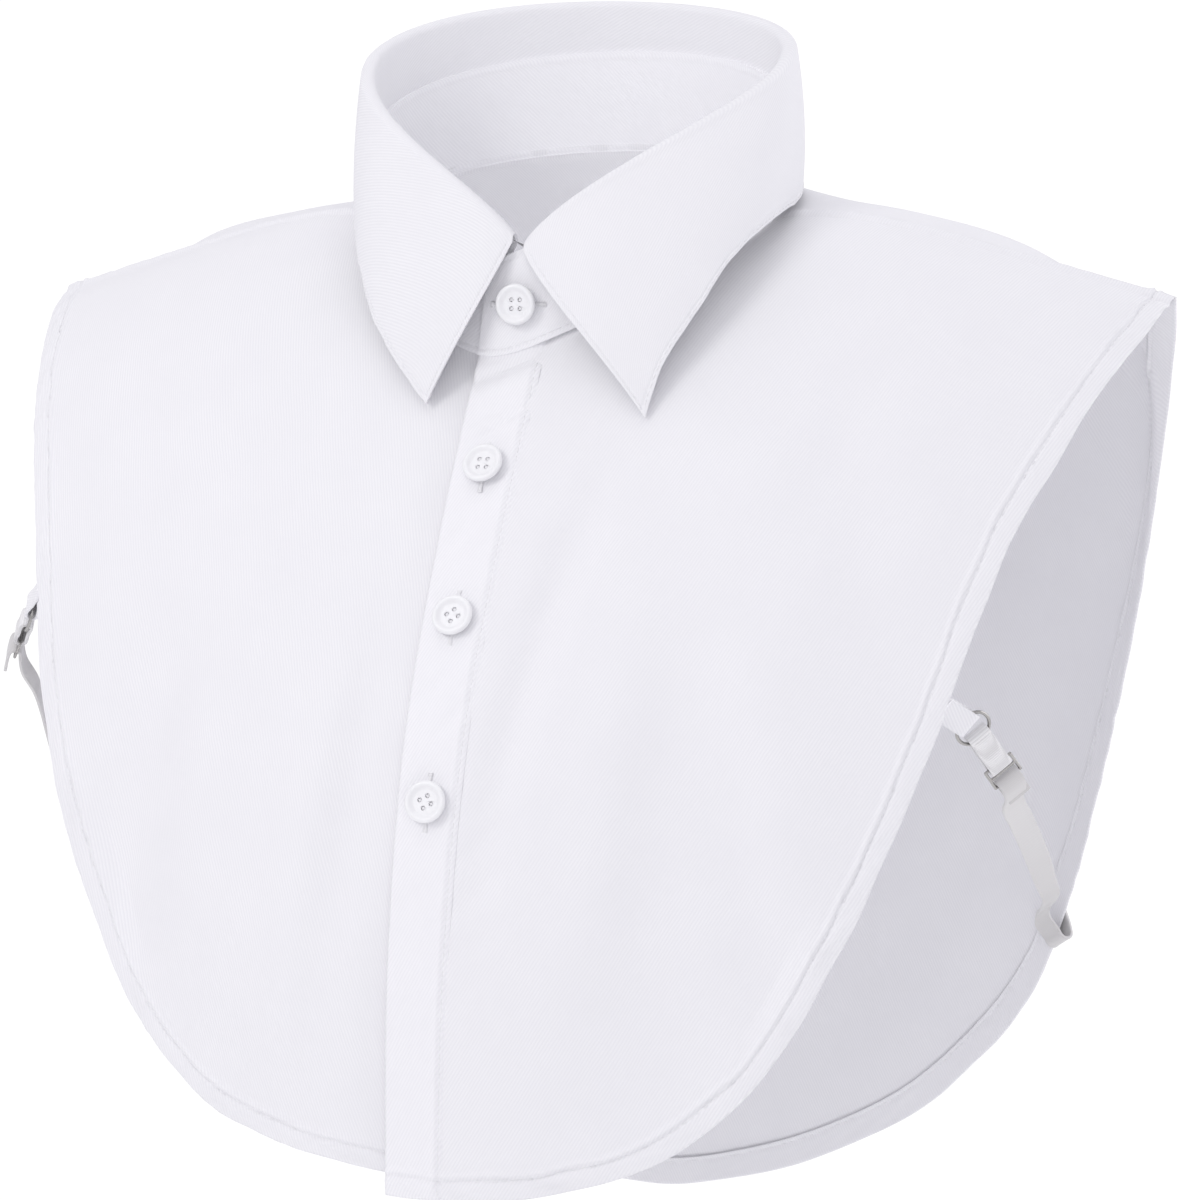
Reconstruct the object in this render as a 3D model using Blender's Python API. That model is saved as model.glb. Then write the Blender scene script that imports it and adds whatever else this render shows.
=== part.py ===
# Detachable shirt collar: a false shirt front with two rounded fronts, a rounded back, a stand, a turned-down
# collar, a buttoned placket, and an elastic tie with a ring and a slider at each side.
# Run with: blender --background --python part.py
# The tables are in millimetres and degrees, the solids in metres. +Z is up, the fronts face -Y and the wearer's
# left is +X. The origin is the middle of the neck's base, where the wearer's neck holds the piece.

import math
from functools import lru_cache

import bmesh
import bpy
import numpy as np
from mathutils import Matrix, Vector

mm = 0.001

# cloth
bodyCloth = 1.0
collarCloth = 1.2
seamGap = 0.3
hemWidth = 8.0
placketTop = 20.5         # the placket's width at the neckline and at the hem
placketFoot = 16.0
frontLength = 243.0       # of the fronts, down the middle
placketStart = 1.2        # how far below the neckline seam the placket begins
lapEase = 12.0            # how far past the placket the under front takes to come level with the other one
underShort = 5.5          # how much shorter the under front hangs at the centre
underReach = 0.62         # share of the under front's width along which it is shorter

# cells of the meshes, across and down a piece
frontCells = (20, 20)
backCells = (34, 18)
placketCells = (2, 30)
standCells = (54, 3)
leafCells = 48
leafRise = 3              # the leaf's cells up from the stand, over its roll and down to its edge
leafRoll = 5
leafFall = 6
buttonSteps = 24
ringSteps = 24
wireSides = 6

# Rings round the neck. half is the half width, front and back the depths from the neck's middle, low and high
# the heights at the centre front and back, rise how soon it climbs, nose how pointed the front is (2 is round),
# slant how far its lowest point lies to the wearer's right and turn how far it is turned to the left, in degrees,
# blunt how much its dip at the centre front is rounded and lean how much higher it is at the right of the back.
rings = {
    "neckline": dict(half=62, front=51, back=49, low=-53, high=12, rise=0.50, nose=2.0, slant=6, turn=0,
                     blunt=0.0075, lean=0),
    "standTop": dict(half=61.5, front=50.5, back=52, low=0, high=0, rise=1, nose=1.9, slant=0, turn=2, blunt=0,
                     lean=0),
    "fold": dict(half=63, front=51.5, back=53, low=-16, high=57, rise=0.40, nose=1.8, slant=0, turn=3.5, blunt=0,
                 lean=3.4),
    "edgeLeft": dict(half=67.5, front=72, back=58.5, low=0, high=0, rise=1, nose=2.6, slant=0, turn=0, blunt=0,
                     lean=0),
    "edgeRight": dict(half=63.5, front=65, back=58.5, low=0, high=0, rise=1, nose=2.2, slant=0, turn=0, blunt=0,
                      lean=0),
}
bodyMiddle = np.array([0, 0, -160])   # a point inside the body, which its walls face away from
shoulderAngle = 95        # where the shoulder seam meets the neckline, round from the centre front

# collar
standLap = 9.5            # degrees that each end of the stand runs past the centre front
standLift = 1.6           # how far the buttoned end stands off the one beneath it
standCorner = 6           # rounding of the stand's buttoned end
standFront = 29.5         # height of the stand at the front and the back
standBack = 31
standClear = 0.5          # gap between the stand and the body's neckline
rollRadius = 2.4
leafBelly = 1.2


def table(columns, *rows):
    return {name: np.array([row[place] for row in rows], float) for place, name in enumerate(columns.split())}


# The collar's fall from its front ends (share 0) to the centre back (share 1): the angle of its fold and of its
# edge round the neck, and the edge's height. The two points hang a little differently.
leafLeft = table("share fold edge height",
                 (0.00, 1, 34.5, -63.0),
                 (0.12, 16, 39.5, -48.5),
                 (0.26, 34, 50.5, -33.0),
                 (0.42, 56, 65, -16.5),
                 (0.62, 92, 98, -0.5),
                 (1.00, 180, 180, 9.0))
leafRight = table("share fold edge height",
                  (0.00, 3, 18.3, -60.2),
                  (0.12, 18, 28.9, -49.1),
                  (0.26, 37, 42.0, -35.5),
                  (0.42, 58, 60.5, -13.3),
                  (0.62, 95, 94, 0.5),
                  (1.00, 180, 180, 9.0))

# Lines down the body between the neckline and the outer edge, for the wearer's left half unless the name says
# otherwise, and the outer edges from the middle to the shoulder's tip for each half, which hang a little unlike.
centreFront = table("x y z",
                    (0, -66.5, -70),
                    (0, -86, -103.5),
                    (0, -107, -147),
                    (0, -121, -210))
sideFront = table("x y z",
                  (66, -50, -52),
                  (88, -70, -88),
                  (108, -82, -128))
frontEdgeRight = table("x y z",
                       (0, -123.5, -273),
                       (39, -120, -267.5),
                       (67, -113.5, -257.5),
                       (91, -106, -238),
                       (114, -96.5, -200),
                       (125, -89.5, -175),
                       (134, -80.5, -150),
                       (149, -56.3, -95),
                       (159.2, -36.6, -68),
                       (168.4, -12.2, -45),
                       (172.8, 3.7, -35),
                       (174.8, 18, -29))
frontEdgeLeft = table("x y z",
                      (0, -123.5, -273),
                      (39, -120, -270),
                      (67, -113.5, -260.2),
                      (91, -106, -239.5),
                      (113, -96.5, -200.5),
                      (123, -89.5, -175),
                      (131.6, -80.5, -150),
                      (146.6, -56.3, -95),
                      (157.8, -36.6, -68),
                      (168, -12.2, -45),
                      (172.8, 3.7, -35),
                      (174.8, 18, -29))
centreBack = table("x y z",
                   (0, 64, -8),
                   (0, 84, -50),
                   (0, 95, -110),
                   (0, 96, -180),
                   (0, 90, -250))
sideBack = table("x y z",
                 (64, 55.5, -6.5),
                 (90, 72.5, -48),
                 (112, 75, -105),
                 (132, 70, -158))
shoulderBladeRight = table("x y z",
                           (98, 26, -5.8),
                           (137, 32, -18),
                           (164, 35.5, -44.5))
shoulderBladeLeft = table("x y z",
                          (98, 26, -5.8),
                          (137, 32, -20.8),
                          (163, 35.5, -46))
backEdgeRight = table("x y z",
                      (0, 84, -314),
                      (32, 82.5, -310),
                      (59.5, 80.5, -299.5),
                      (87, 78.5, -284),
                      (110.5, 75.5, -262.5),
                      (127.3, 71, -238.5),
                      (138, 66, -211),
                      (155, 53, -152),
                      (165, 44, -107),
                      (171, 35.5, -68),
                      (174.5, 26, -41),
                      (174.8, 18.6, -29))
backEdgeLeft = table("x y z",
                     (0, 84, -314),
                     (32, 82.5, -307.6),
                     (59.5, 80.5, -297.3),
                     (86, 78.5, -282.3),
                     (108.8, 75.5, -261),
                     (125, 71, -238.5),
                     (135.6, 66, -211),
                     (152.4, 53, -152),
                     (162.4, 44, -107),
                     (169, 35.5, -68),
                     (173.6, 26, -41),
                     (174.8, 18.6, -29))
shoulderSeam = table("x y z",
                     (79, 6.3, -5),
                     (98, 8.5, -8),
                     (136, 13, -18))

# Soft folds of the fronts and the back: where each lies across and down the panel, how wide and long it is as
# shares of the panel, how it leans, and how far it rises (or falls) in millimetres.
frontFolds = table("across down wide long lean rise",
                   (-0.20, 0.74, 0.09, 0.34, 0.06, 2.2),
                   (-0.42, 0.80, 0.08, 0.30, 0.10, -1.8),
                   (0.22, 0.78, 0.08, 0.34, -0.05, -2.0),
                   (0.36, 0.80, 0.08, 0.32, -0.05, 2.0),
                   (0.60, 0.62, 0.10, 0.34, -0.10, -1.8),
                   (-0.62, 0.52, 0.10, 0.30, 0.10, 1.6))
backFolds = table("across down wide long lean rise",
                  (0.00, 0.72, 0.10, 0.34, 0.00, 2.4),
                  (0.26, 0.76, 0.09, 0.32, -0.05, -2.2),
                  (-0.26, 0.76, 0.09, 0.32, 0.05, -2.2),
                  (0.52, 0.62, 0.10, 0.30, -0.08, 2.0),
                  (-0.52, 0.62, 0.10, 0.30, 0.08, 2.0))

# buttons
buttonHeight = 2.5
buttonHole = 0.7
buttonHoleSpread = 1.25
buttonProfile = table("radius height",
                      (0, 0),
                      (4.7, 0),
                      (5.9, 1.0),
                      (5.75, 2.0),
                      (5.1, 2.5),
                      (4.4, 2.2),
                      (3.5, 1.5),
                      (0, 1.5))
buttonDrops = (37.0, 83.5, 136.0)     # along the placket, down from the neckline seam
standButton = (2.0, -32.0)            # across and up, on the stand

# side ties
tabWidth = 7.4
bandWidth = 6.6
tieCloth = 1.0
ringRadius = 5.0
ringWire = 0.6
tieBend = 1.5             # middle radius of a tie's turn round a wire or a bar
sliderWidth = 9.6
sliderLength = 7.6
sliderBar = 1.1
sliderSoft = 0.25         # bevel of its bars
tieBulge = 0.9            # how far the layers of a folded tie lie apart, as a share of tieBend
tabRoot = 1.9             # how far outside the front's edge the tab's ends are
tabNarrow = 0.65          # half the way between its two layers at that root
tabBroad = 0.95           # and at the share of its length that tabBroadAt gives
tabBroadAt = 0.4
strapEnd = (9.0, 0.8)     # the strap's loose end behind the slider: how far along it, and how far behind
strapHeel = (4.0, 1.4)
strapLead = 2.5           # how far past the slider's last bar the strap leaves it
strapPast = 2.5           # how far the strap's middle reaches past the back's edge before it turns round it
strapBack = 1.7           # where it nears the edge, how far inside it and how far from the back's outer face
strapNear = 5.2
strapTail = 11.0          # its length outside the back
strapSteps = 24
strapTurn = 0.33          # share of its run in which it turns from the slider's way to strapBroad
strapLevel = 0.7          # share of its run from which it turns to lie along the back
strapBroad = (0.90, 0.35, 0.25)       # the way across the strap, along its middle
# For each side: the height of the tab on the front's edge, the ring's and the slider's middles, the direction
# of the slider's bars, the points that the strap runs through, the height where it crosses the back's edge and
# its way there.
ties = {
    "left": dict(side=1, height=-139.0, ring=(140, -67.2, -144.8), slider=(145.1, -53.8, -157.8),
                 bars=(0.70, 0.38, 0.60), run=((145.5, -43.8, -167.1), (142.9, -24.1, -175.3), (140.2, -2.4, -184.1),
                      (137.4, 19.2, -193), (135.5, 35.9, -201.5), (133.8, 50.6, -209.1)), foot=-221,
                 onward=(0.40, -0.30, -0.85)),
    "right": dict(side=-1, height=-117, ring=(148.3, -61.5, -124.6), slider=(155.6, -54.5, -133.0),
                  bars=(0.30, 0.75, 0.59),
                  run=((153.3, -50, -145.4), (151.8, -47, -154), (151.4, -44, -162.4), (151.6, -38, -172.5),
                       (149.5, -20, -191), (142.5, 22, -206)), foot=-222,
                  onward=(0.40, -0.30, -0.85)),
}

looks = {
    "cloth": dict(colour=(0.870, 0.866, 0.884), roughness=0.85, metallic=0.0),
    "collarCloth": dict(colour=(0.880, 0.876, 0.892), roughness=0.82, metallic=0.0),
    "button": dict(colour=(0.860, 0.862, 0.872), roughness=0.28, metallic=0.0),
    "metal": dict(colour=(0.62, 0.62, 0.64), roughness=0.22, metallic=1.0),
    "ribbed": dict(colour=(0.70, 0.69, 0.70), roughness=0.75, metallic=0.0),
    "satin": dict(colour=(0.58, 0.57, 0.575), roughness=0.45, metallic=0.0),
}


def clearScene():
    for item in list(bpy.data.objects):
        bpy.data.objects.remove(item, do_unlink=True)


def material(name, look):
    made = bpy.data.materials.new(name)
    made.use_nodes = True
    shader = made.node_tree.nodes["Principled BSDF"]
    shader.inputs["Base Color"].default_value = (*look["colour"], 1)
    shader.inputs["Roughness"].default_value = look["roughness"]
    shader.inputs["Metallic"].default_value = look["metallic"]
    return made


def place(name, mesh, look):
    thing = bpy.data.objects.new(name, mesh)
    bpy.context.scene.collection.objects.link(thing)
    mesh.materials.append(material(name, looks[look]))
    return thing


# Curves and surfaces

def smooth(knots, values, at, slopes=None):
    # cubic curve through the values at the knots
    if slopes is None:
        slopes = np.gradient(values, knots, axis=0)
    here = min(max(int(np.searchsorted(knots, at)) - 1, 0), len(knots) - 2)
    step = knots[here + 1] - knots[here]
    part = (at - knots[here]) / step
    start = (1 + 2 * part) * (1 - part) ** 2 * values[here] + part * (1 - part) ** 2 * step * slopes[here]
    end = part ** 2 * (3 - 2 * part) * values[here + 1] - part ** 2 * (1 - part) * step * slopes[here + 1]
    return start + end


def curve(points):
    # curve through the points, by share of its length
    points = np.asarray(points, float)
    lengths = np.linalg.norm(np.diff(points, axis=0), axis=1)
    knots = np.concatenate([[0], np.cumsum(lengths)]) / lengths.sum()
    slopes = np.gradient(points, knots, axis=0)
    return lambda share: smooth(knots, points, share, slopes)


def points(line, side=1):
    return np.stack([side * line["x"], line["y"], line["z"]], axis=1)


def ease(value):
    value = min(max(value, 0), 1)
    return value * value * (3 - 2 * value)


def unit(vector):
    vector = np.asarray(vector, float)
    return vector / np.linalg.norm(vector)


def ring(name, degrees):
    size = rings[name]
    angle = math.radians(degrees)
    across = math.sin(angle)
    ahead = math.cos(angle)
    power = 2 / size["nose"] if ahead > 0 else 1
    depth = -size["front"] if ahead > 0 else size["back"]
    climb = (1 - math.cos(angle + math.radians(size["slant"]) * max(ahead, 0))) / 2
    height = size["low"] + (size["high"] - size["low"]) * (climb + size["blunt"]) ** size["rise"]
    height += size["lean"] * climb * (1 - across) / 2
    x = size["half"] * math.copysign(abs(across) ** power, across)
    y = depth * abs(ahead) ** power
    cos = math.cos(math.radians(size["turn"]))
    sin = math.sin(math.radians(size["turn"]))
    return np.array([x * cos - y * sin, x * sin + y * cos, height])


def outward(name, degrees):
    # level direction away from the neck, square to a ring
    along = ring(name, degrees + 1) - ring(name, degrees - 1)
    return unit([along[1], -along[0], 0])


def outerEdge(right, left):
    # the whole edge from the right tip to the left one, by share of its length
    return curve(np.vstack([points(right, -1)[:0:-1], points(left)]))


def net(places, ribs, top, bottom):
    # surface through ribs at their places from u = -1 to 1, between a top and a bottom border

    @lru_cache(maxsize=None)
    def row(v):
        bows = np.array([rib(v) - (1 - v) * rib(0) - v * rib(1) for rib in ribs])
        return bows, np.gradient(bows, places, axis=0)

    @lru_cache(maxsize=None)
    def borders(u):
        return top(u), bottom(u)

    def point(u, v):
        bows, slopes = row(v)
        above, below = borders(u)
        return smooth(places, bows, u, slopes) + (1 - v) * above + v * below

    return point


def body(lines, hem, neck):
    # lines are the tables of the ribs by their places, for both halves unless a half has its own
    def bottom(u):
        return hem((u + 1) / 2)

    def rib(u):
        line = lines.get(u, lines[abs(u)])
        return curve(np.vstack([neck(u), points(line, math.copysign(1, u)), bottom(u)]))

    places = sorted({-place for place in lines} | set(lines))
    return net(places, [rib(u) for u in places], neck, bottom)


def normalAt(surface, u, v):
    # unit vector square to the surface, away from the middle of the body
    step = 0.01
    across = surface(u + step, v) - surface(u - step, v)
    down = surface(u, min(v + step, 1)) - surface(u, max(v - step, 0))
    normal = unit(np.cross(across, down))
    return normal * math.copysign(1, normal.dot(surface(u, v) - bodyMiddle))


def folded(surface, folds):
    # the same surface with its soft folds
    @lru_cache(maxsize=None)
    def point(u, v):
        rise = 0
        for across, down, wide, long, lean, high in zip(*folds.values()):
            aside = (u - across - lean * (v - down) / long) / wide
            along = (v - down) / long
            rise += high * math.exp(-aside ** 2 - along ** 2)
        fade = ease(v / 0.15) * ease((1 - abs(u)) / 0.08)
        return surface(u, v) + normalAt(surface, u, v) * rise * fade

    return point


frontBody = body({0: centreFront, 0.5: sideFront, 1: shoulderSeam}, outerEdge(frontEdgeRight, frontEdgeLeft),
                 lambda u: ring("neckline", u * shoulderAngle))
backBody = body({0: centreBack, 0.5: sideBack, -0.82: shoulderBladeRight, 0.82: shoulderBladeLeft,
                 1: shoulderSeam}, outerEdge(backEdgeRight, backEdgeLeft),
                lambda u: ring("neckline", 180 - u * (180 - shoulderAngle)))
front = folded(frontBody, frontFolds)
back = folded(backBody, backFolds)


def frontAt(x, v):
    # the front's u at a distance across from the centre front
    u = x / rings["neckline"]["half"]
    for _ in range(5):
        u *= x / frontBody(u, v)[0]
    return u


def offset(surface, u, v, out):
    return surface(u, v) + normalAt(surface, u, v) * out


def sheet(name, look, point, cells, thickness, side=-1):
    # closed cloth wall: a grid laid on point(u, v), u along +x and v down as its face is seen, then thickened
    bm = bmesh.new()
    bmesh.ops.create_grid(bm, x_segments=cells[0], y_segments=cells[1], size=1)
    for vert in bm.verts:
        vert.co = Vector(point((vert.co.x + 1) / 2, (1 - vert.co.y) / 2)) * mm
    bmesh.ops.remove_doubles(bm, verts=bm.verts, dist=0.00001)
    bmesh.ops.triangulate(bm, faces=bm.faces, quad_method="SHORT_EDGE")
    mesh = bpy.data.meshes.new(name)
    bm.to_mesh(mesh)
    bm.free()
    thing = place(name, mesh, look)
    wall = thing.modifiers.new("wall", "SOLIDIFY")
    wall.thickness = thickness * mm
    wall.offset = side
    wall.use_even_offset = True
    return thing


# Body

def lapHalf(v):
    # half the placket's width
    return (placketTop + (placketFoot - placketTop) * v) / 2


def underDrop(x):
    # the under front passes beneath the other one near the centre front
    reach = placketTop / 2
    return (bodyCloth + seamGap) * (1 - ease((-x - reach) / lapEase))


def underHem(u):
    # where the under front ends, as a share of the full front
    return 1 - underShort / frontLength * (1 - ease(-u / underReach))


def frontLeft(u, v):
    start = frontAt(-lapHalf(v), v)
    return front(start + (1 - start) * u, v)


def frontRight(u, v):
    end = frontAt(lapHalf(v), v)
    here = -1 + (end + 1) * u
    down = v * underHem(here)
    return offset(front, here, down, -underDrop(front(here, down)[0]))


def placket(u, v):
    start = placketStart / frontLength
    down = start + (1 - start) * v
    x = lapHalf(down) * (2 * u - 1)
    return offset(front, frontAt(x, down) if abs(x) > 0.01 else 0, down, bodyCloth + seamGap)


def backPanel(u, v):
    # its shoulder borders stand clear of the fronts, also inside, where the two walls lean together
    spot = 1 - 2 * u
    if abs(spot) < 0.999:
        return back(spot, v)
    lean = np.linalg.norm(np.cross(normalAt(front, spot, v), normalAt(back, spot, v)))
    return back(spot, v) + np.array([0, seamGap + bodyCloth * lean, 0])


def hem(name, panel, first, last, cells):
    # the turned edge inside a panel, along its outer border between two of the panel's cells
    share = 0.1

    def point(u, v):
        spot = (first + (last - first) * u) / cells
        length = np.linalg.norm(panel(spot, 1 - share) - panel(spot, 1)) / share
        here = 1 - (hemWidth * (1 - v) + seamGap) / length
        return offset(panel, spot, here, -bodyCloth - seamGap)

    sheet(name, "cloth", point, (last - first, 1), bodyCloth)


def buildBody():
    sheet("front_left", "cloth", frontLeft, frontCells, bodyCloth)
    sheet("front_right", "cloth", frontRight, frontCells, bodyCloth)
    sheet("back_panel", "cloth", backPanel, backCells, bodyCloth)
    sheet("placket", "cloth", placket, placketCells, bodyCloth)
    hem("hem_left", frontLeft, 2, frontCells[0] - 1, frontCells[0])
    hem("hem_right", frontRight, 1, frontCells[0] - 2, frontCells[0])
    hem("hem_back", backPanel, 1, backCells[0] - 1, backCells[0])


# Collar

def standHeight(degrees):
    return standFront + (standBack - standFront) * (1 - math.cos(math.radians(degrees))) / 2


def stand(u, v):
    turn = (1 - 2 * u) * (180 + standLap)
    degrees = 180 - turn
    foot = ring("neckline", degrees)
    top = ring("standTop", degrees)
    top[2] = foot[2] + standHeight(degrees)
    foot[2] += standClear
    reach = min(max((180 + standLap - abs(turn)) / standLap, 0), 1)
    top[2] -= standCorner * (1 - math.sqrt(1 - (1 - reach) ** 2))
    lift = standLift * ease((turn - 130) / 25)
    here = foot + (top - foot) * (1 - v)
    return here + outward("neckline", degrees) * lift


def leafPlace(u):
    # the side's table, its edge's ring, its sign, and the share from the front to the back
    share = 1 - abs(1 - 2 * u)
    if u < 0.5:
        return leafLeft, "edgeLeft", 1, share
    return leafRight, "edgeRight", -1, share


def leaf(u, v):
    side, border, sign, share = leafPlace(u)
    degrees = sign * smooth(side["share"], side["fold"], share)
    edge = sign * smooth(side["share"], side["edge"], share)
    away = outward("fold", degrees)
    crest = ring("fold", degrees)
    middle = crest - np.array([0, 0, rollRadius])
    step = round(v * (leafRise + leafRoll + leafFall))
    if step <= leafRise:
        foot = ring("standTop", degrees) - outward("standTop", degrees) * collarCloth
        foot[2] = ring("neckline", degrees)[2] + standHeight(degrees) + 2 * seamGap
        return foot + (middle - away * rollRadius - foot) * step / leafRise
    step -= leafRise
    if step <= leafRoll:
        angle = math.pi * (1 - step / leafRoll)
        return middle + (away * math.cos(angle) + np.array([0, 0, math.sin(angle)])) * rollRadius
    part = (step - leafRoll) / leafFall
    here = degrees + (edge - degrees) * part
    upper = ring("fold", here) + outward("fold", here) * rollRadius
    lower = ring(border, here)
    point = upper + (lower - upper) * part + outward(border, here) * leafBelly * 4 * part * (1 - part)
    height = smooth(side["share"], side["height"], share)
    point[2] = middle[2] + (height - middle[2]) * part
    return point


def buildCollar():
    sheet("collar_stand", "collarCloth", stand, standCells, collarCloth)
    sheet("collar_leaf", "collarCloth", leaf, (leafCells, leafRise + leafRoll + leafFall), collarCloth)


# Buttons

def framed(origin, ahead, up):
    # axes with z ahead and y as near up as it can be
    z = Vector(ahead).normalized()
    x = Vector(up).cross(z).normalized()
    y = z.cross(x)
    return origin, x, y, z


def moveTo(bm, frame):
    origin, x, y, z = frame
    for vert in bm.verts:
        vert.co = (Vector(origin) + x * vert.co.x + y * vert.co.y + z * vert.co.z) * mm


def buttonHoles(name):
    bm = bmesh.new()
    for across in (-1, 1):
        for up in (-1, 1):
            made = bmesh.ops.create_cone(bm, cap_ends=True, segments=8, radius1=buttonHole, radius2=buttonHole,
                                         depth=buttonHeight * 2)
            bmesh.ops.translate(bm, verts=made["verts"],
                                vec=(across * buttonHoleSpread, up * buttonHoleSpread, buttonHeight / 2))
    mesh = bpy.data.meshes.new(name)
    bm.to_mesh(mesh)
    bm.free()
    return place(name, mesh, "button")


def button(name, frame):
    bm = bmesh.new()
    verts = [bm.verts.new((radius, 0, height)) for radius, height in zip(*buttonProfile.values())]
    edges = [bm.edges.new(pair) for pair in zip(verts, verts[1:])]
    bmesh.ops.spin(bm, geom=verts + edges, cent=(0, 0, 0), axis=(0, 0, 1), angle=math.tau, steps=buttonSteps,
                   use_merge=True)
    bmesh.ops.remove_doubles(bm, verts=bm.verts, dist=0.0001)
    bmesh.ops.recalc_face_normals(bm, faces=bm.faces)
    mesh = bpy.data.meshes.new(name)
    bm.to_mesh(mesh)
    bm.free()
    disc = place(name, mesh, "button")
    holes = buttonHoles("holes")
    cut = disc.modifiers.new("holes", "BOOLEAN")
    cut.operation = "DIFFERENCE"
    cut.object = holes
    graph = bpy.context.evaluated_depsgraph_get()
    pierced = bpy.data.meshes.new_from_object(disc.evaluated_get(graph))
    disc.modifiers.remove(cut)
    disc.data = pierced
    bpy.data.objects.remove(holes, do_unlink=True)
    bm = bmesh.new()
    bm.from_mesh(pierced)
    moveTo(bm, frame)
    bm.to_mesh(pierced)
    bm.free()


def placketSpot(drop):
    # v on the centre front at a length down from the neckline
    v = 0
    gone = 0
    here = front(0, 0)
    while gone < drop:
        v += 0.002
        there = front(0, v)
        gone += np.linalg.norm(there - here)
        here = there
    return v


def buildButtons():
    for number, drop in enumerate(buttonDrops, 1):
        v = placketSpot(drop)
        normal = normalAt(front, 0, v)
        origin = front(0, v) + normal * (bodyCloth + 2 * seamGap)
        button(f"button_{number}", framed(origin, normal, (0, 0, 1)))
    x, height = standButton
    degrees = math.degrees(math.asin(x / rings["neckline"]["half"]))
    out = outward("neckline", degrees)
    foot = ring("neckline", degrees)
    origin = foot + out * (standLift + 2 * seamGap)
    origin[2] = height
    button("button_stand", framed(origin, out, (0, 0, 1)))


# Side ties

def ribbon(name, look, path, across, width, closed=False):
    # flat band along a path of points, its width along one direction at each
    path = np.asarray(path, float)
    count = len(path) if closed else len(path) - 1
    across = np.broadcast_to(np.asarray(across, float), path.shape)

    def point(u, v):
        here = round(v * count) % len(path) if closed else round(v * count)
        return path[here] + across[here] * width * (u - 0.5)

    sheet(name, look, point, (2, count), tieCloth, 0)


def bend(centre, along, face, start, steps=6):
    # half turn round a bar: from the start side of the face direction to the other
    turns = [math.pi * step / steps for step in range(steps + 1)]
    return [centre + (face * start * math.cos(turn) + along * math.sin(turn)) * tieBend for turn in turns]


def ringSolid(name, centre, along, across, face):
    bm = bmesh.new()
    made = bmesh.ops.create_circle(bm, segments=wireSides, radius=ringWire)
    bmesh.ops.rotate(bm, verts=made["verts"], cent=(0, 0, 0), matrix=Matrix.Rotation(math.pi / 2, 3, "X"))
    bmesh.ops.translate(bm, verts=made["verts"], vec=(ringRadius, 0, 0))
    bmesh.ops.spin(bm, geom=bm.verts[:] + bm.edges[:], cent=(0, 0, 0), axis=(0, 0, 1), angle=math.tau,
                   steps=ringSteps, use_merge=True)
    bmesh.ops.remove_doubles(bm, verts=bm.verts, dist=0.0001)
    bmesh.ops.recalc_face_normals(bm, faces=bm.faces)
    moveTo(bm, (centre, Vector(along), Vector(across), Vector(face)))
    mesh = bpy.data.meshes.new(name)
    bm.to_mesh(mesh)
    bm.free()
    place(name, mesh, "metal")


def slider(name, middle, along, across, face):
    # frame with three bars
    lines = (0, sliderBar, (sliderLength - sliderBar) / 2, (sliderLength + sliderBar) / 2,
             sliderLength - sliderBar, sliderLength)
    sides = (0, sliderBar, sliderWidth - sliderBar, sliderWidth)
    bm = bmesh.new()
    bmesh.ops.create_grid(bm, x_segments=5, y_segments=3, size=1)
    slots = []
    for cell in bm.faces:
        spot = cell.calc_center_median()
        column = round((spot.x + 1) / 2 * 5 - 0.5)
        if column in (1, 3) and abs(spot.y) < 0.1:
            slots.append(cell)
    bmesh.ops.delete(bm, geom=slots, context="FACES")
    for vert in bm.verts:
        column = round((vert.co.x + 1) / 2 * 5)
        row = round((vert.co.y + 1) / 2 * 3)
        vert.co = Vector((lines[column] - sliderLength / 2, sides[row] - sliderWidth / 2, 0))
    moveTo(bm, (middle, Vector(along), Vector(across), Vector(face)))
    mesh = bpy.data.meshes.new(name)
    bm.to_mesh(mesh)
    bm.free()
    thing = place(name, mesh, "metal")
    wall = thing.modifiers.new("wall", "SOLIDIFY")
    wall.thickness = sliderBar * mm
    wall.offset = 0
    soft = thing.modifiers.new("soft", "BEVEL")
    soft.width = sliderSoft * mm
    soft.segments = 1


def tie(name, plan):
    side = np.array([plan["side"], 1, 1])
    middle = np.array(plan["ring"]) * side
    buckle = np.array(plan["slider"]) * side
    along = unit(buckle - middle)
    across = np.array(plan["bars"]) * side
    across = unit(across - along * across.dot(along))
    face = np.cross(along, across)
    tab(name, plan, middle, face)
    ringSolid(f"ring_{name}", middle, along, across, face)
    chord = math.sqrt(ringRadius ** 2 - (tabWidth / 2) ** 2)
    start = middle + along * chord
    first = buckle - along * (sliderLength - sliderBar) / 2
    half = (start + first) / 2
    bulge = face * tieBend * tieBulge
    band = [*bend(start, -along, face, 1), half - bulge, *bend(first, along, face, -1), half + bulge]
    ribbon(f"band_{name}", "ribbed", band, across, bandWidth, closed=True)
    slider(f"slider_{name}", buckle, along, across, face)
    strap(name, plan, buckle + along * (sliderLength - sliderBar) / 2, along, across, face)


def onEdge(surface, side, height):
    # where a panel's outer border has this height
    shares = side * np.linspace(0.3, 1, 400)
    return min(shares, key=lambda share: abs(surface(share, 1)[2] - height))


def tab(name, plan, middle, axis):
    # folded strip from the front's edge round the ring's near side
    edge = front(onEdge(front, plan["side"], plan["height"]), 1)
    flat = unit(middle - edge - axis * axis.dot(middle - edge))
    across = np.cross(axis, flat)
    turn = middle - flat * math.sqrt(ringRadius ** 2 - (tabWidth / 2) ** 2)
    out = unit(turn - edge - across * across.dot(turn - edge))
    face = np.cross(out, across)
    root = edge + out * tabRoot
    broad = root + (turn - root) * tabBroadAt
    path = [root + face * tabNarrow, broad + face * tabBroad, *bend(turn, out, face, 1), broad - face * tabBroad,
            root - face * tabNarrow]
    ribbon(f"tab_{name}", "cloth", path, across, tabWidth)


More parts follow.
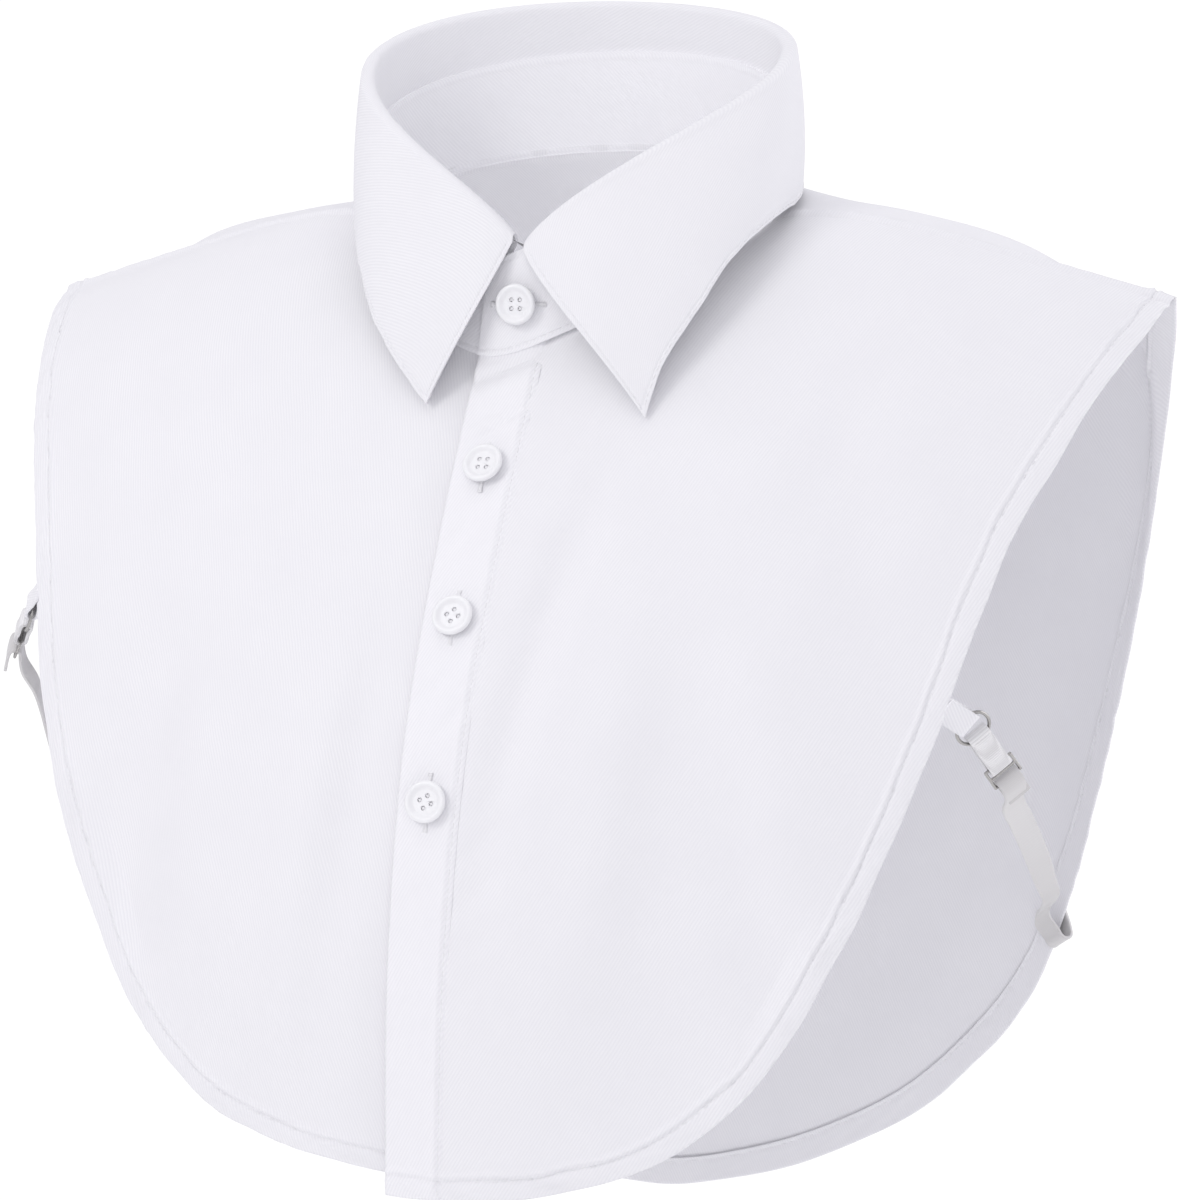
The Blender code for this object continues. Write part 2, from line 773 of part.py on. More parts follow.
def strap(name, plan, last, along, across, face):
    # the elastic, from its turn round the slider's last bar to its turn round the back panel's edge
    tail = [last + along * far - face * behind for far, behind in (strapEnd, strapHeel)]
    turn = bend(last, -along, face, -1)
    lead = last + along * strapLead + face * tieBend * tieBulge
    run = [np.array(spot) * (plan["side"], 1, 1) for spot in plan["run"]]

    spot = onEdge(back, plan["side"], plan["foot"])
    edge = back(spot, 1)
    normal = normalAt(back, spot, 1)
    onward = np.array(plan["onward"]) * (plan["side"], 1, 1)
    onward = unit(onward - normal * normal.dot(onward))
    layers = 2 * bodyCloth + seamGap
    radius = layers / 2 + 2 * seamGap + tieCloth / 2
    centre = edge + onward * strapPast - normal * layers / 2
    arc = [centre + (onward * math.sin(angle) - normal * math.cos(angle)) * radius
           for angle in np.linspace(0, math.pi, 7)]
    near = edge - onward * strapBack - normal * strapNear
    way = curve([turn[-1], lead, *run, near, arc[0]])
    middle = [way(step / strapSteps) for step in range(1, strapSteps + 1)]
    path = tail + turn + middle + arc[1:] + [arc[-1] - onward * strapTail]

    broad = np.array(strapBroad) * (plan["side"], 1, 1)
    finish = np.cross(normal, onward)
    finish *= math.copysign(1, finish.dot(broad))
    sides = [across] * (len(tail) + len(turn))
    for step in range(1, strapSteps + 1):
        early = ease(step / strapSteps / strapTurn)
        late = ease((step / strapSteps - strapLevel) / (1 - strapLevel))
        side = across * (1 - early) + broad * early
        sides.append(unit(side * (1 - late) + finish * late))
    sides += [finish] * len(arc)
    ribbon(f"strap_{name}", "satin", path, np.array(sides), tabWidth)


def buildTies():
    for name, plan in ties.items():
        tie(name, plan)


def main():
    clearScene()
    buildBody()
    buildCollar()
    buildButtons()
    buildTies()


main()
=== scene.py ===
# Detachable shirt collar: two rounded fronts, a rounded back, a stand, a turned-down collar, a buttoned
# placket and an elastic tie with a ring and a slider at each side. Tables are in millimetres and degrees.
import math

import bmesh
import bpy
import numpy as np
from mathutils import Matrix, Vector


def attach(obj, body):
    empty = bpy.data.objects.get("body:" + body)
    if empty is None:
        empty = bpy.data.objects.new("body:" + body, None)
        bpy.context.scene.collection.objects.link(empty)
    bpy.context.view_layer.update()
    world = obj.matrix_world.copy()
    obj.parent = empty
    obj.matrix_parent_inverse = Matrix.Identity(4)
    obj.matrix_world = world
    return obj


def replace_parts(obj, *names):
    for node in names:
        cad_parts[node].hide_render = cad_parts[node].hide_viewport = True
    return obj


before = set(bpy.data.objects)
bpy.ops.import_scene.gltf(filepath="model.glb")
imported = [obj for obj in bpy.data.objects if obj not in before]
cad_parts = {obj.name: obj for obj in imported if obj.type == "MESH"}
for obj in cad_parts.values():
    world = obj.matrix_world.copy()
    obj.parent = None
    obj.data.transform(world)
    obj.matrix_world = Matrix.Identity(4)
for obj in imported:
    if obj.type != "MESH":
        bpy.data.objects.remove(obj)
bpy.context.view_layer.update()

mm = 0.001


# What every piece uses

def added(name, data):
    thing = bpy.data.objects.new(name, data)
    bpy.context.scene.collection.objects.link(thing)
    return thing


def meshFrom(bm, name):
    mesh = bpy.data.meshes.new(name)
    bm.to_mesh(mesh)
    bm.free()
    return mesh


def axes(spot, x, y, z):
    # place and turn of a thing whose own axes lie along x, y and z
    return Matrix((*zip(x, y, z, spot), (0, 0, 0, 1)))


def feed(tree, socket, value):
    # a socket gets a plain value or another node's output
    if isinstance(value, bpy.types.NodeSocket):
        tree.links.new(value, socket)
    else:
        socket.default_value = value


def node(tree, kind, *values, **settings):
    # settings go by name, values to the sockets in their order
    made = tree.nodes.new("ShaderNode" + kind)
    for name, value in settings.items():
        if name in made.inputs:
            feed(tree, made.inputs[name], value)
        else:
            setattr(made, name, value)
    for socket, value in zip(made.inputs, values):
        feed(tree, socket, value)
    return made


def newMaterial(name, look):
    made = bpy.data.materials.new(name)
    made.use_nodes = True
    shader = made.node_tree.nodes["Principled BSDF"]
    shader.inputs["Base Color"].default_value = (*look["colour"], 1)
    for socket, value in look["surface"].items():
        shader.inputs[socket].default_value = value
    return made, made.node_tree, shader


# Camera, lights and floor

cameraPlan = {
    "azimuth": 20.0,
    "elevation": 5.0,
    "roll": 0.3,
    "distance": 1225.0,
    "aside": 4.5,             # of the point looked at, from the neck
    "above": -119.8,
    "lens": 124.95,
}

lightPlan = {
    "world": 0.74,
    "slant": 0.02,            # how much stronger it is from the left
    "left": (-0.94, -0.34, 0),
    "backdrop": 1.06,
    "tint": (0.985, 0.975, 1.03),
    "target": (0, 0, -130),
    "lamps": {
        "key": dict(place=(-590, -1160, 620), size=560, power=4.0, colour=(1.0, 0.99, 0.965)),
        "front": dict(place=(450, -1500, 300), size=1300, power=2.0, colour=(1, 1, 1)),
        "top": dict(place=(0, -300, 1500), size=1300, power=3.0, colour=(1, 1, 1)),
        "back": dict(place=(1300, 700, 200), size=1300, power=6.0, colour=(1, 1, 1)),
    },
    "floorHeight": -750,
    "floorRadius": 1750,
    "floor": {"colour": (0.95, 0.95, 0.95),
              "surface": {"Roughness": 0.9, "Emission Color": (1, 1, 1, 1), "Emission Strength": 0.1}},
}


def makeCamera(plan):
    around, lift, lean = (math.radians(plan[part]) for part in ("azimuth", "elevation", "roll"))
    right = Vector((math.cos(around), math.sin(around), 0))
    back = Vector((math.sin(around) * math.cos(lift), -math.cos(around) * math.cos(lift), math.sin(lift)))
    up = back.cross(right)
    target = right * plan["aside"] * mm + up * plan["above"] * mm
    data = bpy.data.cameras.new("camera")
    data.lens = plan["lens"]
    data.sensor_width = 36
    data.clip_end = 50
    thing = added("camera", data)
    leaning = right * math.cos(lean) + up * math.sin(lean)
    upright = up * math.cos(lean) - right * math.sin(lean)
    thing.matrix_world = axes(target + back * plan["distance"] * mm, leaning, upright, back)
    bpy.context.scene.camera = thing


def makeLamp(name, lamp, target):
    data = bpy.data.lights.new(name, "AREA")
    data.shape = "DISK"
    data.size = lamp["size"] * mm
    data.energy = lamp["power"]
    data.color = lamp["colour"]
    way = Vector(target) - Vector(lamp["place"])
    turned = way.to_track_quat("-Z", "Y").to_matrix().to_4x4()
    added(name, data).matrix_world = Matrix.Translation(Vector(lamp["place"]) * mm) @ turned


def makeStudio(plan):
    # soft light all round, a little stronger from the left, before a white backdrop
    world = bpy.data.worlds.new("studio")
    world.use_nodes = True
    tree = world.node_tree
    way = node(tree, "TexCoord").outputs["Generated"]
    aside = node(tree, "VectorMath", way, plan["left"], operation="DOT_PRODUCT").outputs["Value"]
    share = node(tree, "Math", aside, plan["slant"] * plan["world"], plan["world"], operation="MULTIPLY_ADD")
    ground = tree.nodes["Background"]
    feed(tree, ground.inputs["Color"], (*plan["tint"], 1))
    feed(tree, ground.inputs["Strength"], share.outputs[0])
    white = node(tree, "Background", Color=(1, 1, 1, 1), Strength=plan["backdrop"])
    seen = node(tree, "LightPath").outputs["Is Camera Ray"]
    mix = node(tree, "MixShader", seen, ground.outputs[0], white.outputs[0])
    feed(tree, tree.nodes["World Output"].inputs["Surface"], mix.outputs[0])
    bpy.context.scene.world = world
    for name, lamp in plan["lamps"].items():
        makeLamp(name, lamp, plan["target"])
    bm = bmesh.new()
    bmesh.ops.create_circle(bm, cap_ends=True, segments=96, radius=plan["floorRadius"] * mm)
    bmesh.ops.translate(bm, verts=bm.verts, vec=(0, 0, plan["floorHeight"] * mm))
    floor = added("floor", meshFrom(bm, "floor"))
    floor.data.materials.append(newMaterial("paleFloor", plan["floor"])[0])


makeCamera(cameraPlan)
makeStudio(lightPlan)
bpy.context.scene.view_settings.view_transform = "Standard"
print("camera, lights and floor are set")


# Materials

clothLook = {
    "colour": (0.868, 0.866, 0.884),
    # the second colour is painted shade, laid along the twill's grooves
    "paintedShade": (0.81, 0.807, 0.832),
    "surface": {"Roughness": 0.86, "Sheen Weight": 0.12, "Sheen Roughness": 0.45, "Specular IOR Level": 0.25},
    "twillPitch": 0.85,       # between two twill lines
    "twillDepth": 0.045,
    "slub": 0.35,             # strength of the uneven yarn
    "nap": 0.10,
}

# the twill's lean, as each piece was cut its own way, and how much lighter its colour is: doubled cloth is a
# little lighter, and the lift on the stand and placket is also painted light, making up for the shade of the
# collar over them
twills = {
    "twillFrontRight": (-18, 1),
    "twillFrontLeft": (27, 1),
    "twillBack": (30, 1),
    "twillPlacket": (27, 1.03),
    "twillStand": (43, 1.05),
    "twillLeaf": (62, 1),
    "twillTab": (30, 1),
}

ribbonLooks = {
    # the second colour of each is painted shade, laid between the ribs and lines
    "ribbedBand": {"colour": (0.84, 0.835, 0.84), "paintedShade": (0.70, 0.695, 0.70), "pitch": 0.75, "degrees": 90,
                   "depth": 0.12, "surface": {"Roughness": 0.62, "Sheen Weight": 0.1}},
    "satinElastic": {"colour": (0.64, 0.63, 0.63), "paintedShade": (0.58, 0.57, 0.565), "pitch": 0.35, "degrees": 0,
                     "depth": 0.03, "surface": {"Roughness": 0.40, "Sheen Weight": 0.3}},
}

# clouds: fineness and detail, with a darker share of the colour; scuffs: fineness, detail, depth and strength
smallLooks = {
    "sewingThread": {"colour": (0.88, 0.878, 0.892), "surface": {"Roughness": 0.6},
                     "clouds": (2500, 2.0), "dark": 0.93, "scuffs": (2500, 2.0, 0.02, 0.4)},
    "buttonPlastic": {"colour": (0.875, 0.877, 0.89), "clouds": (260, 3.0), "dark": 0.965,
                      "surface": {"Roughness": 0.34, "Coat Weight": 0.18, "Coat Roughness": 0.12},
                      "scuffs": (1500, 4.0, 0.01, 0.15)},
    # the wire's colour is nickel made darker: a painted reflection, standing in for the dark surroundings
    # that shiny metal mirrors
    "nickelWire": {"colour": (0.47, 0.46, 0.445), "surface": {"Metallic": 1.0},
                   "clouds": (900, 4.0), "dark": 0.8, "roughness": (0.12, 0.30)},
}


def bands(tree, spot, pitch, degrees, distortion):
    # even lines across the piece's own weave map, pitch in millimetres
    turn = node(tree, "Mapping", spot, Rotation=(0, 0, math.radians(degrees)))
    wave = node(tree, "TexWave", turn.outputs["Vector"], Scale=math.pi / 10 / (pitch * mm), Detail=1.0,
                Distortion=distortion)
    return wave.outputs["Fac"]


def cloudy(tree, spot, scale, detail=3.0, stretch=(1, 1, 1)):
    turn = node(tree, "Mapping", spot, Scale=stretch)
    return node(tree, "TexNoise", turn.outputs["Vector"], Scale=scale, Detail=detail).outputs["Fac"]


def dimmed(colour, share):
    return tuple(part * share for part in colour)


def shaded(tree, shader, share, dark, light):
    mix = node(tree, "Mix", data_type="RGBA", Factor=share, **{"A": (*dark, 1), "B": (*light, 1)})
    feed(tree, shader.inputs["Base Color"], mix.outputs["Result"])


def embossed(tree, shader, *layers):
    # bumps of (height, depth in millimetres, strength), one over another
    below = {}
    for height, depth, strength in layers:
        bump = node(tree, "Bump", Height=height, Distance=depth * mm, Strength=strength, **below)
        below = {"Normal": bump.outputs["Normal"]}
    feed(tree, shader.inputs["Normal"], bump.outputs["Normal"])


def clothMaterial(name, twill, doubledAndPaintedLight):
    # lifted colour: doubled cloth is a little lighter, and on the stand and placket the lift is also painted
    # light against the collar's shade
    colour, paintedShade = dimmed(clothLook["colour"], doubledAndPaintedLight), dimmed(clothLook["paintedShade"], doubledAndPaintedLight)
    made, tree, shader = newMaterial(name, dict(clothLook, colour=colour))
    spot = node(tree, "UVMap", uv_map="weave").outputs["UV"]
    # painted shade: the twill's grooves are coloured darker, more so in some patches, and the same lines also
    # raise the bump
    lines = bands(tree, spot, clothLook["twillPitch"], twill, 0.6)
    patches = node(tree, "Math", cloudy(tree, spot, 45), 1.2, 0.2, operation="MULTIPLY_ADD")
    weave = node(tree, "Math", lines, patches.outputs[0], operation="MULTIPLY").outputs[0]
    shaded(tree, shader, weave, paintedShade, colour)
    embossed(tree, shader, (weave, clothLook["twillDepth"], 0.55),
             (cloudy(tree, spot, 900, 2.0, (1, 0.12, 1)), 0.02, clothLook["slub"]),
             (cloudy(tree, spot, 2600, 2.0), 0.012, clothLook["nap"]))
    return made


def ribbonMaterial(name, look):
    made, tree, shader = newMaterial(name, look)
    spot = node(tree, "UVMap", uv_map="weave").outputs["UV"]
    lines = bands(tree, spot, look["pitch"], look["degrees"], 0.15)
    # painted shade: between the ribs and lines the colour is darker, and the same lines also raise the bump
    shaded(tree, shader, lines, look["paintedShade"], look["colour"])
    fibres = cloudy(tree, spot, 1800, 2.0, (1, 0.2, 1))
    embossed(tree, shader, (lines, look["depth"], 0.6), (fibres, 0.02, 0.3))
    return made


def smallMaterial(name, look):
    made, tree, shader = newMaterial(name, look)
    spot = node(tree, "TexCoord").outputs["Object"]
    clouds = cloudy(tree, spot, *look["clouds"])
    shaded(tree, shader, clouds, dimmed(look["colour"], look["dark"]), look["colour"])
    if "scuffs" in look:
        scale, detail, depth, strength = look["scuffs"]
        embossed(tree, shader, (cloudy(tree, spot, scale, detail), depth, strength))
    if "roughness" in look:
        worn = node(tree, "MapRange", clouds, **dict(zip(("To Min", "To Max"), look["roughness"])))
        feed(tree, shader.inputs["Roughness"], worn.outputs["Result"])
    return made


looks = {name: clothMaterial(name, *cut) for name, cut in twills.items()}
looks.update({name: ribbonMaterial(name, look) for name, look in ribbonLooks.items()})
looks.update({name: smallMaterial(name, look) for name, look in smallLooks.items()})
print("materials are made")


# Curves and surfaces, the same as the solids have, read at many places at once

def gone(points):
    # length along a line of points, at each of them
    return np.concatenate([[0], np.cumsum(np.linalg.norm(np.diff(points, axis=0), axis=1))])


def spline(knots, values, at, slopes=None, each=False):
    # cubic curve through the values at the knots; each: every place has values of its own
    if slopes is None:
        slopes = np.gradient(values, knots, axis=0)
    knots = np.asarray(knots, float)
    here = np.clip(np.searchsorted(knots, at) - 1, 0, len(knots) - 2)
    step = knots[here + 1] - knots[here]
    part = (at - knots[here]) / step
    row = np.arange(len(at))

    def pick(rows, place):
        return rows[place, row] if each else rows[place]

    if values.ndim > 1:
        step, part = step[:, None], part[:, None]
    rest = 1 - part
    there = here + 1
    start = (1 + 2 * part) * rest ** 2 * pick(values, here) + part * rest ** 2 * step * pick(slopes, here)
    end = part ** 2 * (3 - 2 * part) * pick(values, there) - part ** 2 * rest * step * pick(slopes, there)
    return start + end


def curve(points):
    points = np.asarray(points, float)
    knots = gone(points)
    knots = knots / knots[-1]
    slopes = np.gradient(points, knots, axis=0)
    return lambda share: spline(knots, points, np.atleast_1d(share), slopes)


def ease(value):
    value = np.clip(value, 0, 1)
    return value * value * (3 - 2 * value)


def hump(distance, width):
    return np.exp(-(distance / width) ** 2)


def unit(vectors):
    vectors = np.asarray(vectors, float)
    return vectors / np.linalg.norm(vectors, axis=-1, keepdims=True)


def tall(values):
    return np.asarray(values, float)[:, None]


def like(places, value):
    return np.full(len(places), float(value))


ringColumns = ("half", "front", "back", "low", "high", "rise", "nose", "slant", "turn", "blunt", "lean")
ringRows = {
    "neckline": (62, 51, 49, -53, 12, 0.50, 2.0, 6, 0, 0.0075, 0),
    "standTop": (61.5, 50.5, 52, 0, 0, 1, 1.9, 0, 2, 0, 0),
    "fold": (63, 51.5, 53, -16, 57, 0.40, 1.8, 0, 3.5, 0, 3.4),
    "edgeLeft": (67.5, 72, 58.5, 0, 0, 1, 2.6, 0, 0, 0, 0),
    "edgeRight": (63.5, 65, 58.5, 0, 0, 1, 2.2, 0, 0, 0, 0),
}
rings = {name: dict(zip(ringColumns, row)) for name, row in ringRows.items()}


def ring(name, degrees):
    size = rings[name]
    angle = np.radians(degrees)
    across = np.sin(angle)
    ahead = np.cos(angle)
    power = np.where(ahead > 0, 2 / size["nose"], 1)
    depth = np.where(ahead > 0, -size["front"], size["back"])
    climb = (1 - np.cos(angle + math.radians(size["slant"]) * np.maximum(ahead, 0))) / 2
    height = size["low"] + (size["high"] - size["low"]) * (climb + size["blunt"]) ** size["rise"]
    height = height + size["lean"] * climb * (1 - across) / 2
    x = size["half"] * np.sign(across) * np.abs(across) ** power
    y = depth * np.abs(ahead) ** power
    cos = math.cos(math.radians(size["turn"]))
    sin = math.sin(math.radians(size["turn"]))
    return np.stack([x * cos - y * sin, x * sin + y * cos, height], axis=1)


def outward(name, degrees):
    along = ring(name, degrees + 1) - ring(name, degrees - 1)
    return unit(np.stack([along[:, 1], -along[:, 0], 0 * along[:, 0]], axis=1))


def mirrored(points):
    return np.asarray(points, float) * (-1, 1, 1)


bodyPlan = {
    "middle": (0, 0, -160),
    "shoulderAngle": 95,
    "cloth": 1.0,             # wall of the solids, which sets how the layers lie on each other
    "seamGap": 0.3,
    "centreFront": ((0, -66.5, -70), (0, -86, -103.5), (0, -107, -147), (0, -121, -210)),
    "sideFront": ((66, -50, -52), (88, -70, -88), (108, -82, -128)),
    "frontEdgeRight": ((0, -123.5, -273), (39, -120, -267.5), (67, -113.5, -257.5), (91, -106, -238),
                       (114, -96.5, -200), (125, -89.5, -175), (134, -80.5, -150), (149, -56.3, -95),
                       (159.2, -36.6, -68), (168.4, -12.2, -45), (172.8, 3.7, -35), (174.8, 18, -29)),
    "frontEdgeLeft": ((0, -123.5, -273), (39, -120, -270), (67, -113.5, -260.2), (91, -106, -239.5),
                      (113, -96.5, -200.5), (123, -89.5, -175), (131.6, -80.5, -150), (146.6, -56.3, -95),
                      (157.8, -36.6, -68), (168, -12.2, -45), (172.8, 3.7, -35), (174.8, 18, -29)),
    "centreBack": ((0, 64, -8), (0, 84, -50), (0, 95, -110), (0, 96, -180), (0, 90, -250)),
    "sideBack": ((64, 55.5, -6.5), (90, 72.5, -48), (112, 75, -105), (132, 70, -158)),
    "shoulderBladeRight": ((98, 26, -5.8), (137, 32, -18), (164, 35.5, -44.5)),
    "shoulderBladeLeft": ((98, 26, -5.8), (137, 32, -20.8), (163, 35.5, -46)),
    "backEdgeRight": ((0, 84, -314), (32, 82.5, -310), (59.5, 80.5, -299.5), (87, 78.5, -284),
                      (110.5, 75.5, -262.5), (127.3, 71, -238.5), (138, 66, -211), (155, 53, -152),
                      (165, 44, -107), (171, 35.5, -68), (174.5, 26, -41), (174.8, 18.6, -29)),
    "backEdgeLeft": ((0, 84, -314), (32, 82.5, -307.6), (59.5, 80.5, -297.3), (86, 78.5, -282.3),
                     (108.8, 75.5, -261), (125, 71, -238.5), (135.6, 66, -211), (152.4, 53, -152),
                     (162.4, 44, -107), (169, 35.5, -68), (173.6, 26, -41), (174.8, 18.6, -29)),
    "shoulderSeam": ((79, 6.3, -5), (98, 8.5, -8), (136, 13, -18)),
    # across, down, wide, long, lean, rise
    "frontFolds": ((-0.20, 0.74, 0.09, 0.34, 0.06, 2.2), (-0.42, 0.80, 0.08, 0.30, 0.10, -1.8),
                   (0.22, 0.78, 0.08, 0.34, -0.05, -2.0), (0.36, 0.80, 0.08, 0.32, -0.05, 2.0),
                   (0.60, 0.62, 0.10, 0.34, -0.10, -1.8), (-0.62, 0.52, 0.10, 0.30, 0.10, 1.6)),
    "backFolds": ((0.00, 0.72, 0.10, 0.34, 0.00, 2.4), (0.26, 0.76, 0.09, 0.32, -0.05, -2.2),
                  (-0.26, 0.76, 0.09, 0.32, 0.05, -2.2), (0.52, 0.62, 0.10, 0.30, -0.08, 2.0),
                  (-0.52, 0.62, 0.10, 0.30, 0.08, 2.0)),
}
bodyMiddle = np.array(bodyPlan["middle"], float)


def outerEdge(right, left):
    return curve(np.vstack([mirrored(right)[:0:-1], left]))


def net(places, ribs, top, bottom):
    # surface through ribs at their places from u = -1 to 1, between a top and a bottom border
    def point(u, v):
        bows = np.array([rib(v) - tall(1 - v) * rib(0) - tall(v) * rib(1) for rib in ribs])
        return spline(places, bows, u, each=True) + tall(1 - v) * top(u) + tall(v) * bottom(u)

    return point


def between(grid, column, row):
    # a net of points read between its columns and rows
    column = np.clip(column, 0, grid.shape[1] - 1.0001)
    row = np.clip(row, 0, grid.shape[0] - 1.0001)
    c, r = column.astype(int), row.astype(int)
    x, y = tall(column - c), tall(row - r)
    upper = grid[r, c] * (1 - x) + grid[r, c + 1] * x
    lower = grid[r + 1, c] * (1 - x) + grid[r + 1, c + 1] * x
    return upper * (1 - y) + lower * y


def sampled(surface, reach=1.04, across=560, down=420):
    # the same surface read from a close net of its points, which is quicker
    us, vs = np.linspace(-reach, reach, across + 1), np.linspace(0, 1, down + 1)
    grid = surface(np.tile(us, down + 1), np.repeat(vs, across + 1)).reshape(down + 1, across + 1, 3)
    return lambda u, v: between(grid, (u / reach + 1) / 2 * across, v * down)


def panel(lines, hem, neck):
    # lines are the ribs by their places, for both halves unless a half has its own
    places = sorted({-place for place in lines} | set(lines))
    ribs = []
    for place in places:
        line = np.array(lines.get(place, lines[abs(place)]), float)
        if place < 0:
            line = mirrored(line)
        ribs.append(curve(np.vstack([neck(np.array([place])), line, hem((place + 1) / 2)])))
    return sampled(net(np.array(places, float), ribs, neck, lambda u: hem((u + 1) / 2)))


def normalAt(surface, u, v, step=0.01):
    across = surface(u + step, v) - surface(u - step, v)
    down = surface(u, np.minimum(v + step, 1)) - surface(u, np.maximum(v - step, 0))
    normal = unit(np.cross(across, down))
    return normal * np.sign(np.sum(normal * (surface(u, v) - bodyMiddle), axis=1, keepdims=True))


def folded(surface, folds):
    def point(u, v):
        rise = 0
        for across, down, wide, long, lean, high in folds:
            aside = (u - across - lean * (v - down) / long) / wide
            along = (v - down) / long
            rise = rise + high * np.exp(-aside ** 2 - along ** 2)
        fade = ease(v / 0.15) * ease((1 - np.abs(u)) / 0.08)
        return surface(u, v) + normalAt(surface, u, v) * tall(rise * fade)

    return point


frontBody = panel({0: bodyPlan["centreFront"], 0.5: bodyPlan["sideFront"], 1: bodyPlan["shoulderSeam"]},
                  outerEdge(bodyPlan["frontEdgeRight"], bodyPlan["frontEdgeLeft"]),
                  lambda u: ring("neckline", u * bodyPlan["shoulderAngle"]))
backBody = panel({0: bodyPlan["centreBack"], 0.5: bodyPlan["sideBack"], 1: bodyPlan["shoulderSeam"],
                  -0.82: bodyPlan["shoulderBladeRight"], 0.82: bodyPlan["shoulderBladeLeft"]},
                 outerEdge(bodyPlan["backEdgeRight"], bodyPlan["backEdgeLeft"]),
                 lambda u: ring("neckline", 180 - u * (180 - bodyPlan["shoulderAngle"])))
front = sampled(folded(frontBody, bodyPlan["frontFolds"]))
back = sampled(folded(backBody, bodyPlan["backFolds"]))


def frontAt(x, v):
    # the front's u at a distance across from the centre front
    u = x / rings["neckline"]["half"]
    for _ in range(5):
        slope = (frontBody(u + 0.01, v)[:, 0] - frontBody(u - 0.01, v)[:, 0]) / 0.02
        u = u + (x - frontBody(u, v)[:, 0]) / slope
    return u


def offset(surface, u, v, out):
    return surface(u, v) + normalAt(surface, u, v) * tall(out)


# Sheets

def steps(*parts):
    # places along a side of a sheet, in runs of (from, to, cells)
    runs = [np.linspace(start, end, count + 1) for start, end, count in parts]
    return np.concatenate([runs[0]] + [run[1:] for run in runs[1:]])


def gridMesh(name, shape, columns, rows):
    # a grid laid on shape(u, w), u along +x and w down as its face is seen
    bm = bmesh.new()
    across, down = len(columns) - 1, len(rows) - 1
    bmesh.ops.create_grid(bm, x_segments=across, y_segments=down, size=1)
    i = np.array([round((vert.co.x + 1) / 2 * across) for vert in bm.verts])
    j = np.array([round((1 - vert.co.y) / 2 * down) for vert in bm.verts])
    spots = shape(columns[i], rows[j]) * mm
    for vert, spot in zip(bm.verts, spots):
        vert.co = spot
    for face in bm.faces:
        face.smooth = True
    grid = np.zeros((down + 1, across + 1, 3))
    grid[j, i] = spots
    return meshFrom(bm, name), grid, i, j


def weaveMap(mesh, coordinates):
    # coordinates in metres for each vertex, kept as the mesh's own map
    layer = mesh.uv_layers.new(name="weave")
    corner = np.zeros(len(mesh.loops), int)
    mesh.loops.foreach_get("vertex_index", corner)
    layer.data.foreach_set("uv", coordinates[corner].astype(np.float32).ravel())


def combed(grid, i, j):
    # lengths along the rows and columns of a sheet, from its middle column and its top row
    across = np.linalg.norm(np.diff(grid, axis=1), axis=2)
    down = np.linalg.norm(np.diff(grid, axis=0), axis=2)
    s = np.concatenate([np.zeros((len(grid), 1)), np.cumsum(across, axis=1)], axis=1)
    s -= s[:, [s.shape[1] // 2]]
    t = np.concatenate([np.zeros((1, grid.shape[1])), np.cumsum(down, axis=0)], axis=0)
    return np.stack([s[j, i], -t[j, i]], axis=1)


flatPlan = {"columns": 24, "rows": 16, "edgeRows": 3, "plumb": 12, "rounds": 1500, "ease": 0.09}


def laidFlat(shape, low, high, last, grain):
    # the cloth laid out flat, read by u and w: a coarse net, eased until its lengths are those on the piece;
    # grain is the share of its width at which the threads run straight down
    plan = flatPlan
    us = np.linspace(low, high, plan["columns"] + 1)
    ws = steps((0, 1, plan["rows"]), (1, last, plan["edgeRows"]))
    spots = shape(np.tile(us, len(ws)), np.repeat(ws, len(us))).reshape(len(ws), len(us), 3) * mm
    j, i = np.mgrid[0:len(ws), 0:len(us)]
    flat = combed(spots, i.ravel(), j.ravel()).reshape(len(ws), len(us), 2)
    pairs = []
    for down, along in ((0, 1), (1, 0), (1, 1), (1, -1), (2, 0), (0, 2)):
        first = (slice(0, len(ws) - down), slice(max(-along, 0), len(us) - max(along, 0)))
        second = (slice(down, len(ws)), slice(max(along, 0), len(us) + min(along, 0)))
        pairs.append((first, second, np.linalg.norm(spots[second] - spots[first], axis=2)))
    for _ in range(plan["rounds"]):
        move = np.zeros(flat.shape)
        for first, second, length in pairs:
            gap = flat[second] - flat[first]
            drawn = np.linalg.norm(gap, axis=2)
            pull = gap * ((drawn - length) / drawn)[..., None]
            move[first] += pull
            move[second] -= pull
        flat += plan["ease"] * move
    upright = round(plan["columns"] * grain)
    way = flat[0, upright] - flat[plan["plumb"], upright]
    turn = math.atan2(way[0], way[1])
    flat = flat @ np.array([[math.cos(turn), math.sin(turn)], [-math.sin(turn), math.cos(turn)]])
    return lambda u, w: between(flat, (u - low) / (high - low) * plan["columns"],
                                np.interp(w, ws, np.arange(len(ws))))


def finished(thing, look, slot, *nodes):
    # a piece gets its material and body, and stands for the solids named; the slot it is given is not used
    thing.data.materials.append(looks[look])
    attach(thing, "root")
    if nodes:
        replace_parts(thing, *nodes)
    return thing


def clothPiece(name, nodes, look, shape, columns, rows, thickness, side=-1, flat=None, rim=0.0):
    mesh, grid, i, j = gridMesh(name, shape, columns, rows)
    thing = added(name, mesh)
    weaveMap(mesh, flat(columns[i], rows[j]) if flat else combed(grid, i, j))
    wall = thing.modifiers.new("wall", "SOLIDIFY")
    wall.thickness = thickness * mm
    wall.offset = side
    wall.use_even_offset = True
    if rim:
        soft = thing.modifiers.new("rim", "BEVEL")
        soft.width = rim * mm
        soft.segments = 2
        soft.limit_method = "ANGLE"
        soft.angle_limit = math.radians(60)
    return finished(thing, look, nodes[0], *nodes)


